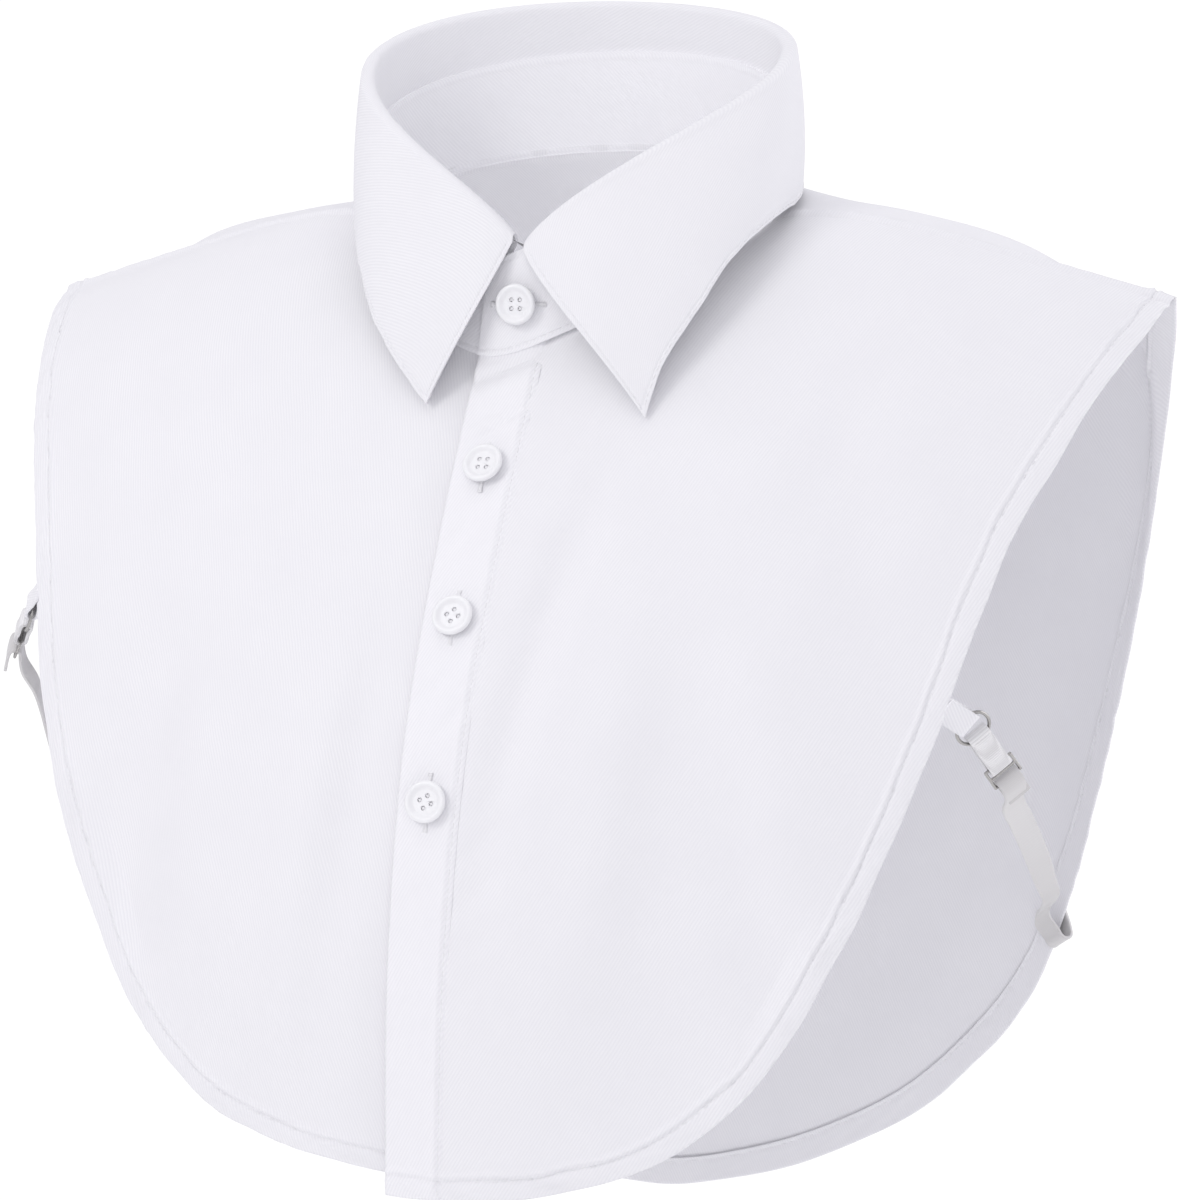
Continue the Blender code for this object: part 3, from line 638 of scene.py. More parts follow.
def placed(name, bm, look, slot, where=Matrix.Identity(4)):
    # a small piece made in millimetres about the middle, scaled and put in its place
    bmesh.ops.scale(bm, vec=(mm, mm, mm), verts=bm.verts)
    bmesh.ops.transform(bm, matrix=where, verts=bm.verts)
    for face in bm.faces:
        face.smooth = True
    return finished(added(name, meshFrom(bm, name)), look, slot)


def sew(name, slot, spots, ways, ups, length, thick):
    # a row of stitches lying on the cloth, one bead of thread each
    bm = bmesh.new()
    for spot, way, up in zip(spots, unit(ways), unit(ups)):
        x = Vector(way)
        z = Vector(up - way * way.dot(up)).normalized()
        bead = axes(spot, x * length / 2, z.cross(x) * thick / 2, z * thick / 2)
        bmesh.ops.create_icosphere(bm, subdivisions=1, radius=1, matrix=bead)
    return placed(name, bm, "sewingThread", slot)


stitchPlan = {"length": 1.8, "pitch": 2.5, "thick": 0.27, "sunk": 0.06}


def evenly(line, low, high, pitch):
    # places from low to high that lie a pitch apart on the line
    samples = np.linspace(low, high, 800)
    lengths = gone(line(samples))
    count = max(int(lengths[-1] / pitch), 2)
    return np.interp((np.arange(count) + 0.5) / count * lengths[-1], lengths, samples)


def sewLine(name, slot, shape, path, low, high):
    # stitches on a sheet along path(t), which gives its u and w
    places = evenly(lambda t: shape(*path(t)), low, high, stitchPlan["pitch"])
    small = (high - low) * 0.0005
    u, w = path(places)
    ways = shape(*path(places + small)) - shape(*path(places - small))
    across, down = shape(u + 0.002, w) - shape(u - 0.002, w), shape(u, w + 0.004) - shape(u, w - 0.004)
    ups = unit(np.cross(across, down))
    spots = shape(u, w) - ups * stitchPlan["sunk"]
    return sew(name, slot, spots, ways, ups, stitchPlan["length"], stitchPlan["thick"])


# Hemmed panels

hemPlan = {
    "width": 6.3,             # of the turned strip
    "zone": 14.0,             # finely meshed along the edge
    "turn": 0.45,             # radius of the fold at the edge
    "stitch": 1.3,            # of the stitches from the strip's inner edge
    "pillow": 0.22,
    "groove": 0.34,
    "ridge": 0.55,
    "pucker": 0.48,
    "puckerLean": 0.45,
    "twist": 0.50,            # long slanting folds that the strip is drawn into
    "twistLean": 3.2,
    "drift": (9.0, 0.45),     # wander of the stitches: pitch and amount
    "wave": (14.0, 0.35),     # wander of the edge
    "cloth": 0.42,
    "allowance": 3.0,         # how far the cloth runs up inside the stand
}

# dip: how deep the dip beside each rise is, how far off and how wide, as shares of the rise's own
gatherPlan = {
    "pucker": dict(past=15, cell=0.25, pitch=(4.0, 13.0), wide=(1.3, 3.2), least=0.25, ways=(-1, 1, 1),
                   dip=(0.6, 1.7, 0.9)),
    "twist": dict(past=30, cell=0.5, pitch=(9.0, 24.0), wide=(2.2, 5.0), least=0.4, ways=(),
                  dip=(0.7, 1.5, 0.8)),
}


def wander(seed, length, pitch, amount):
    # uneven wave along a hem, read by length
    chance = np.random.RandomState(seed)
    knots = np.arange(-20, length + 30, pitch)
    values = chance.uniform(-amount, amount, len(knots))
    return lambda s: spline(knots, values, np.asarray(s, float))


def gathers(kind, seed, length, amount):
    # heights along a hem, read by length, uneven in place, width and height
    plan = gatherPlan[kind]
    chance = np.random.RandomState(seed)
    table = np.arange(-plan["past"] - 10, length + plan["past"] + 20, plan["cell"])
    heights = np.zeros(len(table))
    deep, aside, narrow = plan["dip"]
    place = -float(plan["past"])
    while place < length + plan["past"]:
        place += chance.uniform(*plan["pitch"])
        wide = chance.uniform(*plan["wide"])
        high = amount * chance.uniform(plan["least"], 1.0)
        if plan["ways"]:
            high *= chance.choice(plan["ways"])
        heights += high * hump(table - place, wide)
        heights -= high * deep * hump(table - place - wide * aside, wide * narrow)
    return lambda s: np.interp(s, table, heights)


def hemmed(surface, seed, creases, strength, grain=0.5, **changes):
    # rows: -1 to 0 inside the stand, 0 to 1 down to the hem, 1 to 2 its outside, 2 to 3 the turn at the edge,
    # 3 to 4 the strip inside
    plan = dict(hemPlan, **changes)
    width, zone, radius = plan["width"], plan["zone"], plan["turn"]
    samples = np.linspace(0, 1, 500)
    lengths = gone(surface(samples, like(samples, 1)))
    puckers = gathers("pucker", seed, lengths[-1], plan["pucker"] * strength)
    twists = gathers("twist", seed + 3, lengths[-1], plan["twist"] * strength)
    drift = wander(seed + 1, lengths[-1], *plan["drift"])
    wave = wander(seed + 2, lengths[-1], *plan["wave"])

    def point(u, w):
        above = np.maximum(-w, 0)
        w = np.maximum(w, 0)
        s = np.interp(u, samples, lengths)
        foot = like(u, 1)
        edge = surface(u, foot)
        rib = edge - surface(u, foot - 0.03)
        along = unit(surface(u + 0.003, foot) - surface(u - 0.003, foot))
        square = rib - along * np.sum(rib * along, axis=1, keepdims=True)
        reach = np.linalg.norm(square, axis=1) / 0.03
        gap = np.where(w <= 1, zone, np.where(w <= 2, zone * (2 - w), 0))
        gap = np.where(w > 3, width * (w - 3), gap)
        v = np.where(w <= 1, w, 1) * (1 - gap / reach)
        place = surface(u, v)
        normal = normalAt(surface, u, v, 0.006)
        depth = np.where(w <= 1, zone + (1 - w) * reach, gap)
        stitch = width - plan["stitch"] + drift(s)
        beside = depth - stitch
        inner = ease((beside + 0.2) / 0.4)
        fade = inner * hump(np.maximum(beside, 0), 2.4) + (1 - inner) * (0.55 + 0.45 * hump(beside, 2.5))
        gather = puckers(s + plan["puckerLean"] * (depth - 4)) * fade
        swell = np.sin(math.pi * np.clip(depth / stitch, 0.08, 1)) ** 0.6
        gather = gather + twists(s + plan["twistLean"] * (depth - 3)) * swell * (1 - inner)
        pillow = plan["pillow"] * np.sin(math.pi * np.clip(depth / stitch, 0, 1)) ** 0.8
        rise = pillow - plan["groove"] * hump(beside, 0.42) + plan["ridge"] * hump(beside - 1.15, 0.7)
        rise = rise + gather + creases(place) * ease((depth - width) / 6)
        within = -2 * radius + gather * 0.8 - 0.3 * hump(depth - width + 0.4, 0.8) + 0.25 * hump(beside, 0.5)
        spot = place + normal * tall(np.where(w > 3, within, rise))
        angle = math.pi * (np.clip(w, 2, 3) - 2)
        away = unit(square)
        out = puckers(s - 4 * plan["puckerLean"]) * 0.8 - radius + radius * np.cos(angle)
        turned = edge + normal * tall(out) + away * tall(radius * np.sin(angle))
        spot = np.where(tall((w > 2) & (w <= 3)) > 0, turned, spot)
        nearby = hump(np.where(w > 3, depth, np.where(w > 2, 0, depth)), 5.0)
        inward = unit(spot * (-1, -1, 0)) * 0.9
        inside = (inward + np.array([0, 0, plan["allowance"]])) * tall(above)
        return spot + away * tall(wave(s) * nearby) + inside

    laid = laidFlat(point, 0, 1, 2, grain)
    # the strip inside lies on the same threads as the cloth outside it
    return point, lambda u, w: laid(u, np.where(w > 3, 2 - (w - 3) * width / zone, np.minimum(w, 2)))


# Soft creases by their ends across and up (x, z), their half width and how far they rise

creasePlan = {
    "front": (
        (-92, -140, -104, -205, 15, -3.4), (-70, -120, -78, -190, 12, 2.4), (-22, -118, -24, -190, 8, -2.1),
        (-36, -150, -42, -230, 8, 1.8), (34, -84, 20, -150, 7, -1.7), (26, -100, 16, -190, 6, -1.1),
        (50, -120, 46, -200, 11, 2.1), (84, -170, 96, -215, 11, -2.4), (-118, -60, -90, -100, 12, -1.5),
        (100, -60, 80, -110, 12, -1.4), (-60, -62, -96, -92, 8, -1.3), (62, -66, 94, -84, 8, 1.2),
        (14, -168, 20, -163, 2.6, -0.5), (13, -178, 21, -172, 2.8, -0.6), (12, -192, 19, -186, 2.4, -0.5),
        (13, -205, 20, -200, 2.6, -0.5), (13, -216, 18, -213, 2.4, -0.4), (14, -122, 26, -112, 3.0, -0.4),
    ),
    "placket": (
        (-9, -53.5, 10, -46, 1.5, -1.25), (-6, -57.5, 8, -51.5, 2.2, 0.75), (-1, -67.5, 9.6, -59, 1.5, -1.05),
        (-3, -71, 7, -64, 1.8, 0.45), (-6, -64, 2, -61, 1.6, -0.35), (-7, -67.5, 5, -64, 1.5, 0.35),
        (-9, -71, 4, -67, 1.8, -0.4), (0, -84, 8, -76, 2.4, -0.5), (-8, -83, -2, -77, 2.4, 0.35),
        (-8, -100, -2, -93, 2.2, -0.45), (-8, -112, -4, -122, 2.2, 0.3), (-7, -140, -1, -134, 2.2, -0.45),
        (3, -146, 8, -139, 2.2, -0.45), (-8, -168, -2, -160, 2.4, -0.45), (2, -168, 8, -161, 2.2, 0.3),
        (-7, -196, 0, -190, 2.6, -0.3),
    ),
    "back": (
        (-60, -120, -66, -220, 18, 2.0), (64, -110, 70, -220, 18, 2.0), (20, -60, 10, -140, 12, 1.2),
        (-30, -40, -44, -90, 12, -1.3), (34, -36, 50, -90, 12, -1.4), (112, -120, 118, -200, 10, -1.6),
        (-112, -120, -118, -200, 10, -1.6), (92, -210, 60, -262, 12, 1.5), (-92, -210, -60, -262, 12, 1.5),
        (126, -60, 104, -120, 10, 1.0), (-126, -60, -104, -120, 10, 1.0),
    ),
}


def creasesOf(name):
    def rise(points):
        total = np.zeros(len(points))
        for x0, z0, x1, z1, wide, high in creasePlan[name]:
            way = np.array([x1 - x0, z1 - z0], float)
            off = points[:, [0, 2]] - (x0, z0)
            share = off @ way / way.dot(way)
            beside = np.abs(off[:, 0] * way[1] - off[:, 1] * way[0]) / np.linalg.norm(way)
            past = np.maximum(np.maximum(-share, share - 1), 0) * np.linalg.norm(way)
            swell = 0.75 + 0.25 * np.sin(math.pi * np.clip(share, 0, 1))
            total += high * hump(beside, wide) * hump(past, wide * 1.6) * swell
        return total

    return rise


placketPlan = {
    "top": 20.5,
    "foot": 16.0,
    "start": 1.2,             # of its top below the stand's foot
    "frontLength": 243.0,
    "lapEase": 12.0,          # width over which the lower front comes up beside the lap
    "underShort": 5.5,        # how much shorter the lower front is there
    "out": (1.25, 0.90),      # from the front at its left and right edge
    "stitch": 0.925,          # share of the width at which its border is stitched
    "width": 18.0,
    "pucker": 0.22,
    "fall": ((0.80, 0.12, 0.45), (0.93, 0.07, 0.60)),    # at its border: from, over, how far
    "outward": (0.0, -0.93, 0.3),
}


def lapHalf(v):
    return (placketPlan["top"] + (placketPlan["foot"] - placketPlan["top"]) * v) / 2


def underDrop(x):
    reach = placketPlan["top"] / 2
    return (bodyPlan["cloth"] + bodyPlan["seamGap"]) * (1 - ease((-x - reach) / placketPlan["lapEase"]))


def underHem(u):
    return 1 - placketPlan["underShort"] / placketPlan["frontLength"] * (1 - ease(-u / 0.62))


def frontLeft(u, v):
    start = frontAt(-lapHalf(v), v)
    return front(start + (1 - start) * u, v)


def frontRight(u, v):
    end = frontAt(lapHalf(v), v)
    here = -1 + (end + 1) * u
    down = v * underHem(here)
    return offset(front, here, down, -underDrop(front(here, down)[:, 0]))


def placket(u, v):
    start = placketPlan["start"] / placketPlan["frontLength"]
    down = start + (1 - start) * v
    left, right = placketPlan["out"]
    return offset(front, frontAt(lapHalf(down) * (2 * u - 1), down), down, left + (right - left) * u)


panelPlan = {
    "frontRows": ((-1, 0, 3), (0, 1, 100), (1, 2, 36), (2, 3, 6), (3, 4, 14)),
    "frontColumns": ((0, 0.93, 117), (0.93, 1, 18)),
    "backRows": ((-1, 0, 3), (0, 1, 90), (1, 2, 34), (2, 3, 6), (3, 4, 16)),
    "backColumns": ((0, 1, 210),),
    "backHem": 8.0,
    "placketRows": ((-1, 0, 2), (0, 1, 180), (1, 2, 30), (2, 3, 6), (3, 4, 8)),
    "placketColumns": ((0, 0.8, 19), (0.8, 1, 14)),
    "seamRidge": 0.80,
    "seamGroove": 0.30,
    "seamPucker": 0.30,
    "seamUp": (0, -0.35, 0.93),
}

frontPlan = {
    "left": dict(surface=frontLeft, shoulder=1, seed=11, seamSeed=5, grain=0, sewn=(0.06, 0.995)),
    "right": dict(surface=frontRight, shoulder=0, seed=23, seamSeed=6, grain=1, sewn=(0.005, 0.99)),
}


def seamed(surface, side, seed):
    # a surface whose shoulder border carries the felled seam's ridge and stitch groove
    plan = panelPlan
    puckers = gathers("pucker", seed, 190, plan["seamPucker"])

    def point(u, v):
        spot = surface(u, v)
        aside = np.linalg.norm(spot - surface(like(u, side), v), axis=1)
        lift = plan["seamRidge"] * hump(aside - 1.9, 1.5) - plan["seamGroove"] * hump(aside - 4.6, 0.5)
        lift = lift + puckers(v * 180 + 0.5 * aside) * hump(aside - 3.0, 2.6)
        return spot + np.array(plan["seamUp"]) * tall(lift * (aside < 12))

    return point


def panelPiece(name, nodes, look, shape, flat, kind, turned=False):
    columns, rows = (steps(*panelPlan[kind + part]) for part in ("Columns", "Rows"))
    if turned:
        columns = 1 - columns[::-1]
    return clothPiece(name, nodes, look, shape, columns, rows, hemPlan["cloth"], flat=flat)


def buildFronts():
    shapes, cloths, threads = {}, [], []
    for side, plan in frontPlan.items():
        surface = seamed(plan["surface"], plan["shoulder"], plan["seamSeed"])
        shapes[side], flat = hemmed(surface, plan["seed"], creasesOf("front"), 0.9, plan["grain"])
        cloths.append(panelPiece(f"front_{side}_cloth", [f"front_{side}", f"hem_{side}"],
                                 "twillFront" + side.title(), shapes[side], flat, "front", side == "right"))
    row = 2 - (hemPlan["width"] - hemPlan["stitch"]) / hemPlan["zone"]
    for side, shape in shapes.items():
        threads.append(sewLine(f"stitches_hem_{side}", "front_left", shape, lambda t: (t, like(t, row)),
                               *frontPlan[side]["sewn"]))
    print("fronts are sewn")
    return cloths, threads


def buildBack():
    width = panelPlan["backHem"]
    shape, flat = hemmed(lambda u, v: back(1 - 2 * u, v), 37, creasesOf("back"), 0.7, width=width)
    cloth = panelPiece("back_cloth", ["back_panel", "hem_back"], "twillBack", shape, flat, "back")
    row = 3 + (width - hemPlan["stitch"]) / width
    thread = sewLine("stitches_hem_back", "back_panel", shape, lambda t: (t, like(t, row)), 0.01, 0.99)
    print("back is sewn")
    return cloth, thread


def buildPlacket():
    plan = placketPlan
    shape, flat = hemmed(placket, 51, creasesOf("placket"), 0.5, turn=1.0)
    puckers = gathers("pucker", 77, 260, plan["pucker"])

    def bordered(u, w):
        # the stitched border at the right: a soft ridge, a groove and small puckers beside it
        zone = hemPlan["zone"]
        low = np.clip(w, 0, 1) * (plan["frontLength"] - zone) + np.clip(w - 1, 0, 1) * zone
        aside = (u - plan["stitch"]) * plan["width"]
        rise = 0.26 * hump(aside + 1.1, 0.7) - 0.16 * hump(aside, 0.4)
        rise = rise + puckers(low + 0.6 * aside) * hump(aside + 0.8, 1.8)
        rise = rise * ease(w / 0.02) * ease((2.02 - w) / 0.3)
        fall = sum(far * ease((u - start) / over) for start, over, far in plan["fall"])
        return shape(u, w) + np.array(plan["outward"]) * tall(rise - fall)

    cloth = panelPiece("placket_cloth", ["placket"], "twillPlacket", bordered, flat, "placket")
    thread = sewLine("stitches_placket", "placket", bordered, lambda t: (like(t, plan["stitch"]), t), 0.02,
                     1.97)
    print("placket is sewn")
    return cloth, thread


# Collar

# leafLeft and leafRight: share from the front end to the centre back, the fold's angle, the edge's angle and
# the edge's height
collarPlan = {
    "lap": 9.5,
    "lift": 1.6,
    "corner": 6,
    "front": 29.5,
    "back": 31,
    "cloth": 1.2,
    "roll": 2.4,
    "belly": 1.2,
    "leafLeft": ((0.00, 1, 34.5, -63.0), (0.12, 16, 39.5, -48.5), (0.26, 34, 50.5, -33.0),
                 (0.42, 56, 65, -16.5), (0.62, 92, 98, -0.5), (1.00, 180, 180, 9.0)),
    "leafRight": ((0.00, 3, 18.3, -60.2), (0.12, 18, 28.9, -49.1), (0.26, 37, 42.0, -35.5),
                  (0.42, 58, 60.5, -13.3), (0.62, 95, 94, 0.5), (1.00, 180, 180, 9.0)),
    "leafLength": 402,
    "leafCloth": 1.0,
    "leafColumns": ((0, 0.012, 12), (0.012, 0.5, 120), (0.5, 0.988, 120), (0.988, 1, 12)),
    "leafRows": ((0, 1, 10), (1, 2, 10), (2, 2.9, 36), (2.9, 3, 16)),
    "standCloth": 2.4,
    "standColumns": ((0, 0.02, 10), (0.02, 0.98, 210), (0.98, 1, 10)),
    "standRows": ((0, 0.15, 10), (0.15, 0.85, 12), (0.85, 1, 14)),
    "standThin": 0.45,        # share of its thickness at the lapped ends and the foot
    "rim": 0.3,
}


def standHeight(degrees):
    plan = collarPlan
    return plan["front"] + (plan["back"] - plan["front"]) * (1 - np.cos(np.radians(degrees))) / 2


def stand(u, v):
    plan = collarPlan
    turn = (1 - 2 * u) * (180 + plan["lap"])
    degrees = 180 - turn
    foot = ring("neckline", degrees)
    top = ring("standTop", degrees)
    top[:, 2] = foot[:, 2] + standHeight(degrees)
    foot[:, 2] += bodyPlan["seamGap"] + 0.2
    reach = np.clip((180 + plan["lap"] - np.abs(turn)) / plan["lap"], 0, 1)
    top[:, 2] -= plan["corner"] * (1 - np.sqrt(1 - (1 - reach) ** 2))
    lift = plan["lift"] * ease((turn - 130) / 25)
    height = np.linalg.norm(top - foot, axis=1)
    low = height * (1 - v)
    band = -0.22 * hump(low - 1.9, 0.4) + 0.14 * hump(low - 0.8, 0.7) - 0.18 * hump(height - low - 1.6, 0.4)
    angle = np.radians(degrees)
    waves = 0.22 * np.sin(angle * 31 + 3 * v) * np.sin(angle * 7.3) * hump(low - 1.5, 3)
    return foot + (top - foot) * tall(1 - v) + outward("neckline", degrees) * tall(lift + band + waves)


def leaf(u, w):
    # rows: 0 to 1 up from the stand, 1 to 2 over the roll, 2 to 3 down to the edge
    plan = collarPlan
    roll = plan["roll"]
    share = 1 - np.abs(1 - 2 * u)
    sign = np.where(u < 0.5, 1.0, -1.0)
    left, right = np.array(plan["leafLeft"], float), np.array(plan["leafRight"], float)
    fold, edge, height = (np.where(u < 0.5, spline(left[:, 0], left[:, column], share),
                                   spline(right[:, 0], right[:, column], share)) for column in (1, 2, 3))
    degrees = sign * fold
    away = outward("fold", degrees)
    middle = ring("fold", degrees) - np.array([0, 0, roll])
    foot = ring("standTop", degrees) - outward("standTop", degrees) * plan["cloth"]
    foot[:, 2] = ring("neckline", degrees)[:, 2] + standHeight(degrees) - 1.0
    rise = foot + (middle - away * roll - foot) * tall(np.clip(w, 0, 1))
    angle = math.pi * (2 - np.clip(w, 1, 2))
    over = middle + (away * tall(np.cos(angle)) + np.array([0, 0, 1.0]) * tall(np.sin(angle))) * roll
    part = np.clip(w - 2, 0, 1)
    here = degrees + (sign * edge - degrees) * part
    upper = ring("fold", here) + outward("fold", here) * roll
    lower, out = (np.where(tall(u < 0.5) > 0, way("edgeLeft", here), way("edgeRight", here))
                  for way in (ring, outward))
    fall = upper + (lower - upper) * tall(part) + out * tall(plan["belly"] * 4 * part * (1 - part))
    fall[:, 2] = middle[:, 2] + (height - middle[:, 2]) * part
    below = (1 - part) * np.abs(height - middle[:, 2])
    inward = np.minimum(u, 1 - u) * plan["leafLength"]
    seam = -0.20 * hump(below - 1.7, 0.35) - 0.20 * hump(inward - 1.7, 0.35) * (below > 1.4)
    seam = seam + 0.10 * hump(below - 0.7, 0.6) + 0.10 * hump(inward - 0.7, 0.6)
    ripple = 0.18 * np.sin(u * 150 + part * 2) * np.sin(u * 37) * hump(below, 5)
    fall = fall + out * tall((seam + ripple) * (w > 2))
    return np.where(tall(w <= 1) > 0, rise, np.where(tall(w <= 2) > 0, over, fall))


def standThickness(spot):
    # full above the foot and away from the lapped ends
    x, y, z = np.array(spot) / mm
    around = abs(math.degrees(math.atan2(x, -y)))
    low = (z - ring("neckline", np.array([around]))[0, 2]) / 30
    thin = collarPlan["standThin"]
    return thin + (1 - thin) * float(ease(low)) * float(ease((around - 12) / 18))


def buildCollar():
    plan = collarPlan
    standPiece, leafPiece = (
        clothPiece(f"{part}_cloth", [f"collar_{part}"], "twill" + part.title(), shape,
                   steps(*plan[part + "Columns"]), steps(*plan[part + "Rows"]), plan[part + "Cloth"],
                   rim=plan["rim"]) for part, shape in (("stand", stand), ("leaf", leaf)))
    group = standPiece.vertex_groups.new(name="thick")
    for vert in standPiece.data.vertices:
        group.add([vert.index], standThickness(vert.co), "REPLACE")
    standPiece.modifiers["wall"].vertex_group = "thick"
    lines = (("stand", stand, lambda t: (t, like(t, 0.935)), 0.004, 0.996),
             ("leaf_edge", leaf, lambda t: (t, like(t, 2.974)), 0.008, 0.992),
             ("leaf_left", leaf, lambda t: (like(t, 0.0043), t), 2.03, 2.96),
             ("leaf_right", leaf, lambda t: (like(t, 0.9957), t), 2.03, 2.96))
    threads = [sewLine(f"stitches_{name}", "collar_leaf", *line) for name, *line in lines]
    print("stand and collar are sewn")
    return standPiece, leafPiece, threads


# Buttons

buttonPlan = {
    "radius": 5.9,
    "outline": ((1.5, 0.1), (0.8, 0.3), (0.15, 1.0), (0, 1.55), (0.12, 2.05), (0.45, 2.38), (0.85, 2.5),
                (1.25, 2.42), (1.65, 2.1), (2.05, 1.72), (2.5, 1.5)),    # inwards from the radius, up
    "well": 1.5,
    "hole": 0.65,
    "spread": 1.25,           # of the four holes from the middle
    "sides": 72,
    "drops": (37.0, 83.5, 136.0),
    "turns": (2, 38, 30),
    "out": 1.6,               # of a button's foot from the front
    "holeOut": 1.04,
    "stand": (2.0, -32.0),
    "standOut": 2.2,
    "standHoleOut": 1.7,
    "holeLength": 15.2,
    "standHoleLength": 12.4,
    "threadDrop": 0.62,       # of the thread's beads below the well's floor
    "threadSpread": 0.28,
    "threadBead": (0.31, 0.31, 0.45),
    "stitch": dict(length=1.5, pitch=0.26, thick=0.36, out=0.06),
    "bar": dict(length=1.9, past=0.2, pitch=0.3),
}
holeSpots = [(across * buttonPlan["spread"], up * buttonPlan["spread"])
             for across in (-1, 1) for up in (-1, 1)]


def turnAll(bm, degrees, axis="Z"):
    turn = Matrix.Rotation(math.radians(degrees), 3, axis)
    bmesh.ops.rotate(bm, verts=bm.verts, cent=(0, 0, 0), matrix=turn)


def spun(bm):
    # the outline in a bmesh spun round the Z axis and closed
    bmesh.ops.spin(bm, geom=bm.verts[:] + bm.edges[:], cent=(0, 0, 0), axis=(0, 0, 1), angle=math.tau,
                   steps=buttonPlan["sides"], use_merge=True)
    bmesh.ops.remove_doubles(bm, verts=bm.verts, dist=0.0005)
    bmesh.ops.recalc_face_normals(bm, faces=bm.faces)


def buttonDisc(name, where, slot, turn):
    plan = buttonPlan
    radius, hole = plan["radius"], plan["hole"]
    bm = bmesh.new()
    outline = [(radius - inwards, up) for inwards, up in plan["outline"]]
    verts = [bm.verts.new((across, 0, up)) for across, up in [(0, 0.1), *outline, (0, plan["well"])]]
    for pair in zip(verts, verts[1:]):
        bm.edges.new(pair)
    spun(bm)
    disc = placed(name, bm, "buttonPlastic", slot)
    bm = bmesh.new()
    for spot in holeSpots:
        made = bmesh.ops.create_cone(bm, cap_ends=True, segments=24, radius1=hole, radius2=hole, depth=7.5)
        bmesh.ops.translate(bm, verts=made["verts"], vec=(*spot, 0))
    holes = placed("holes", bm, "buttonPlastic", slot)
    cut = disc.modifiers.new("holes", "BOOLEAN")
    cut.object = holes
    cut.operation = "DIFFERENCE"
    pierced = bpy.data.meshes.new_from_object(disc.evaluated_get(bpy.context.evaluated_depsgraph_get()))
    disc.modifiers.remove(cut)
    disc.data = pierced
    bpy.data.objects.remove(holes, do_unlink=True)
    bm = bmesh.new()
    bm.from_mesh(pierced)
    rim = [edge for edge in bm.edges if len(edge.link_faces) == 2 and edge.calc_face_angle(0) > 1.2]
    bmesh.ops.bevel(bm, geom=rim, offset=0.12 * mm, offset_type="OFFSET", affect="EDGES", segments=2,
                    profile=0.5, material=-1)
    turnAll(bm, turn)
    # the well's floor and the underside are flat, all else is smooth
    bm.normal_update()
    for face in bm.faces:
        face.smooth = abs(face.normal.z) < 0.999
    bmesh.ops.transform(bm, matrix=where, verts=bm.verts)
    bm.to_mesh(pierced)
    bm.free()
    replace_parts(disc, slot)
    return disc


def buttonThread(name, where, slot, turn):
    # the sewing thread that fills the four holes to just below the well
    plan = buttonPlan
    bm = bmesh.new()
    low = plan["well"] - plan["threadDrop"]
    for across, up in holeSpots:
        for strand in range(4):
            angle = math.tau * (strand + 0.4) / 4
            aside = Vector((math.cos(angle), math.sin(angle), 0)) * plan["threadSpread"]
            made = bmesh.ops.create_icosphere(bm, subdivisions=2, radius=1)
            bmesh.ops.scale(bm, verts=made["verts"], vec=plan["threadBead"])
            bmesh.ops.translate(bm, verts=made["verts"], vec=Vector((across, up, low)) + aside)
    turnAll(bm, turn)
    return placed(name, bm, "sewingThread", slot, where)


def buttonhole(name, slot, centre, across, out, length):
    # a close row of cross stitches with a bar tack at each end, which shows above and below the button
    stitch, bar = buttonPlan["stitch"], buttonPlan["bar"]
    half = length / 2
    row = [centre(along) + out * stitch["out"] for along in np.arange(-half, half + 0.01, stitch["pitch"])]
    ends = [centre(side * (half + bar["past"]) + step * bar["pitch"])
            for side in (-1, 1) for step in (-1, 0, 1)]
    for part, spots, wide in (("", row, stitch["length"]), ("_bars", ends, bar["length"])):
        ways, ups = [across] * len(spots), [out] * len(spots)
        sew(name + part, slot, spots, ways, ups, wide, stitch["thick"])


def sewButton(name, origin, out, turn, centre, across, length):
    z = Vector(out).normalized()
    x = Vector((0, 0, 1)).cross(z).normalized()
    where = axes(Vector(origin) * mm, x, z.cross(x), z)
    buttonDisc(f"{name}_disc", where, name, turn)
    buttonThread(f"{name}_thread", where, name, turn)
    buttonhole(f"{name}_hole", name, centre, np.array(across, float), out, length)


def one(surface, u, v):
    return surface(np.array([u]), np.array([v]))[0]


def buildButtons():
    plan = buttonPlan
    vs = np.linspace(0, 1, 1201)
    drops = gone(front(0 * vs, vs))

    def onPlacket(drop, out):
        v = np.interp(drop, drops, vs)
        normal = normalAt(front, np.zeros(1), np.array([v]))[0]
        return one(front, 0, v) + normal * out, normal

    for number, (drop, turn) in enumerate(zip(plan["drops"], plan["turns"]), 1):
        origin, out = onPlacket(drop, plan["out"])
        sewButton(f"button_{number}", origin, out, turn,
                  lambda along: onPlacket(drop + along, plan["holeOut"])[0], (1, 0, 0), plan["holeLength"])

    x, height = plan["stand"]
    degrees = np.array([math.degrees(math.asin(x / rings["neckline"]["half"]))])

    def onStand(along, out):
        here = degrees + along / 0.9
        spot = ring("neckline", here)[0] + outward("neckline", here)[0] * out
        spot[2] = height
        return spot

    sewButton("button_stand", onStand(0, plan["standOut"]), outward("neckline", degrees)[0], 0,
              lambda along: onStand(along, plan["standHoleOut"]), (0, 0, 1), plan["standHoleLength"])
    print("buttons are on")


# Side ties

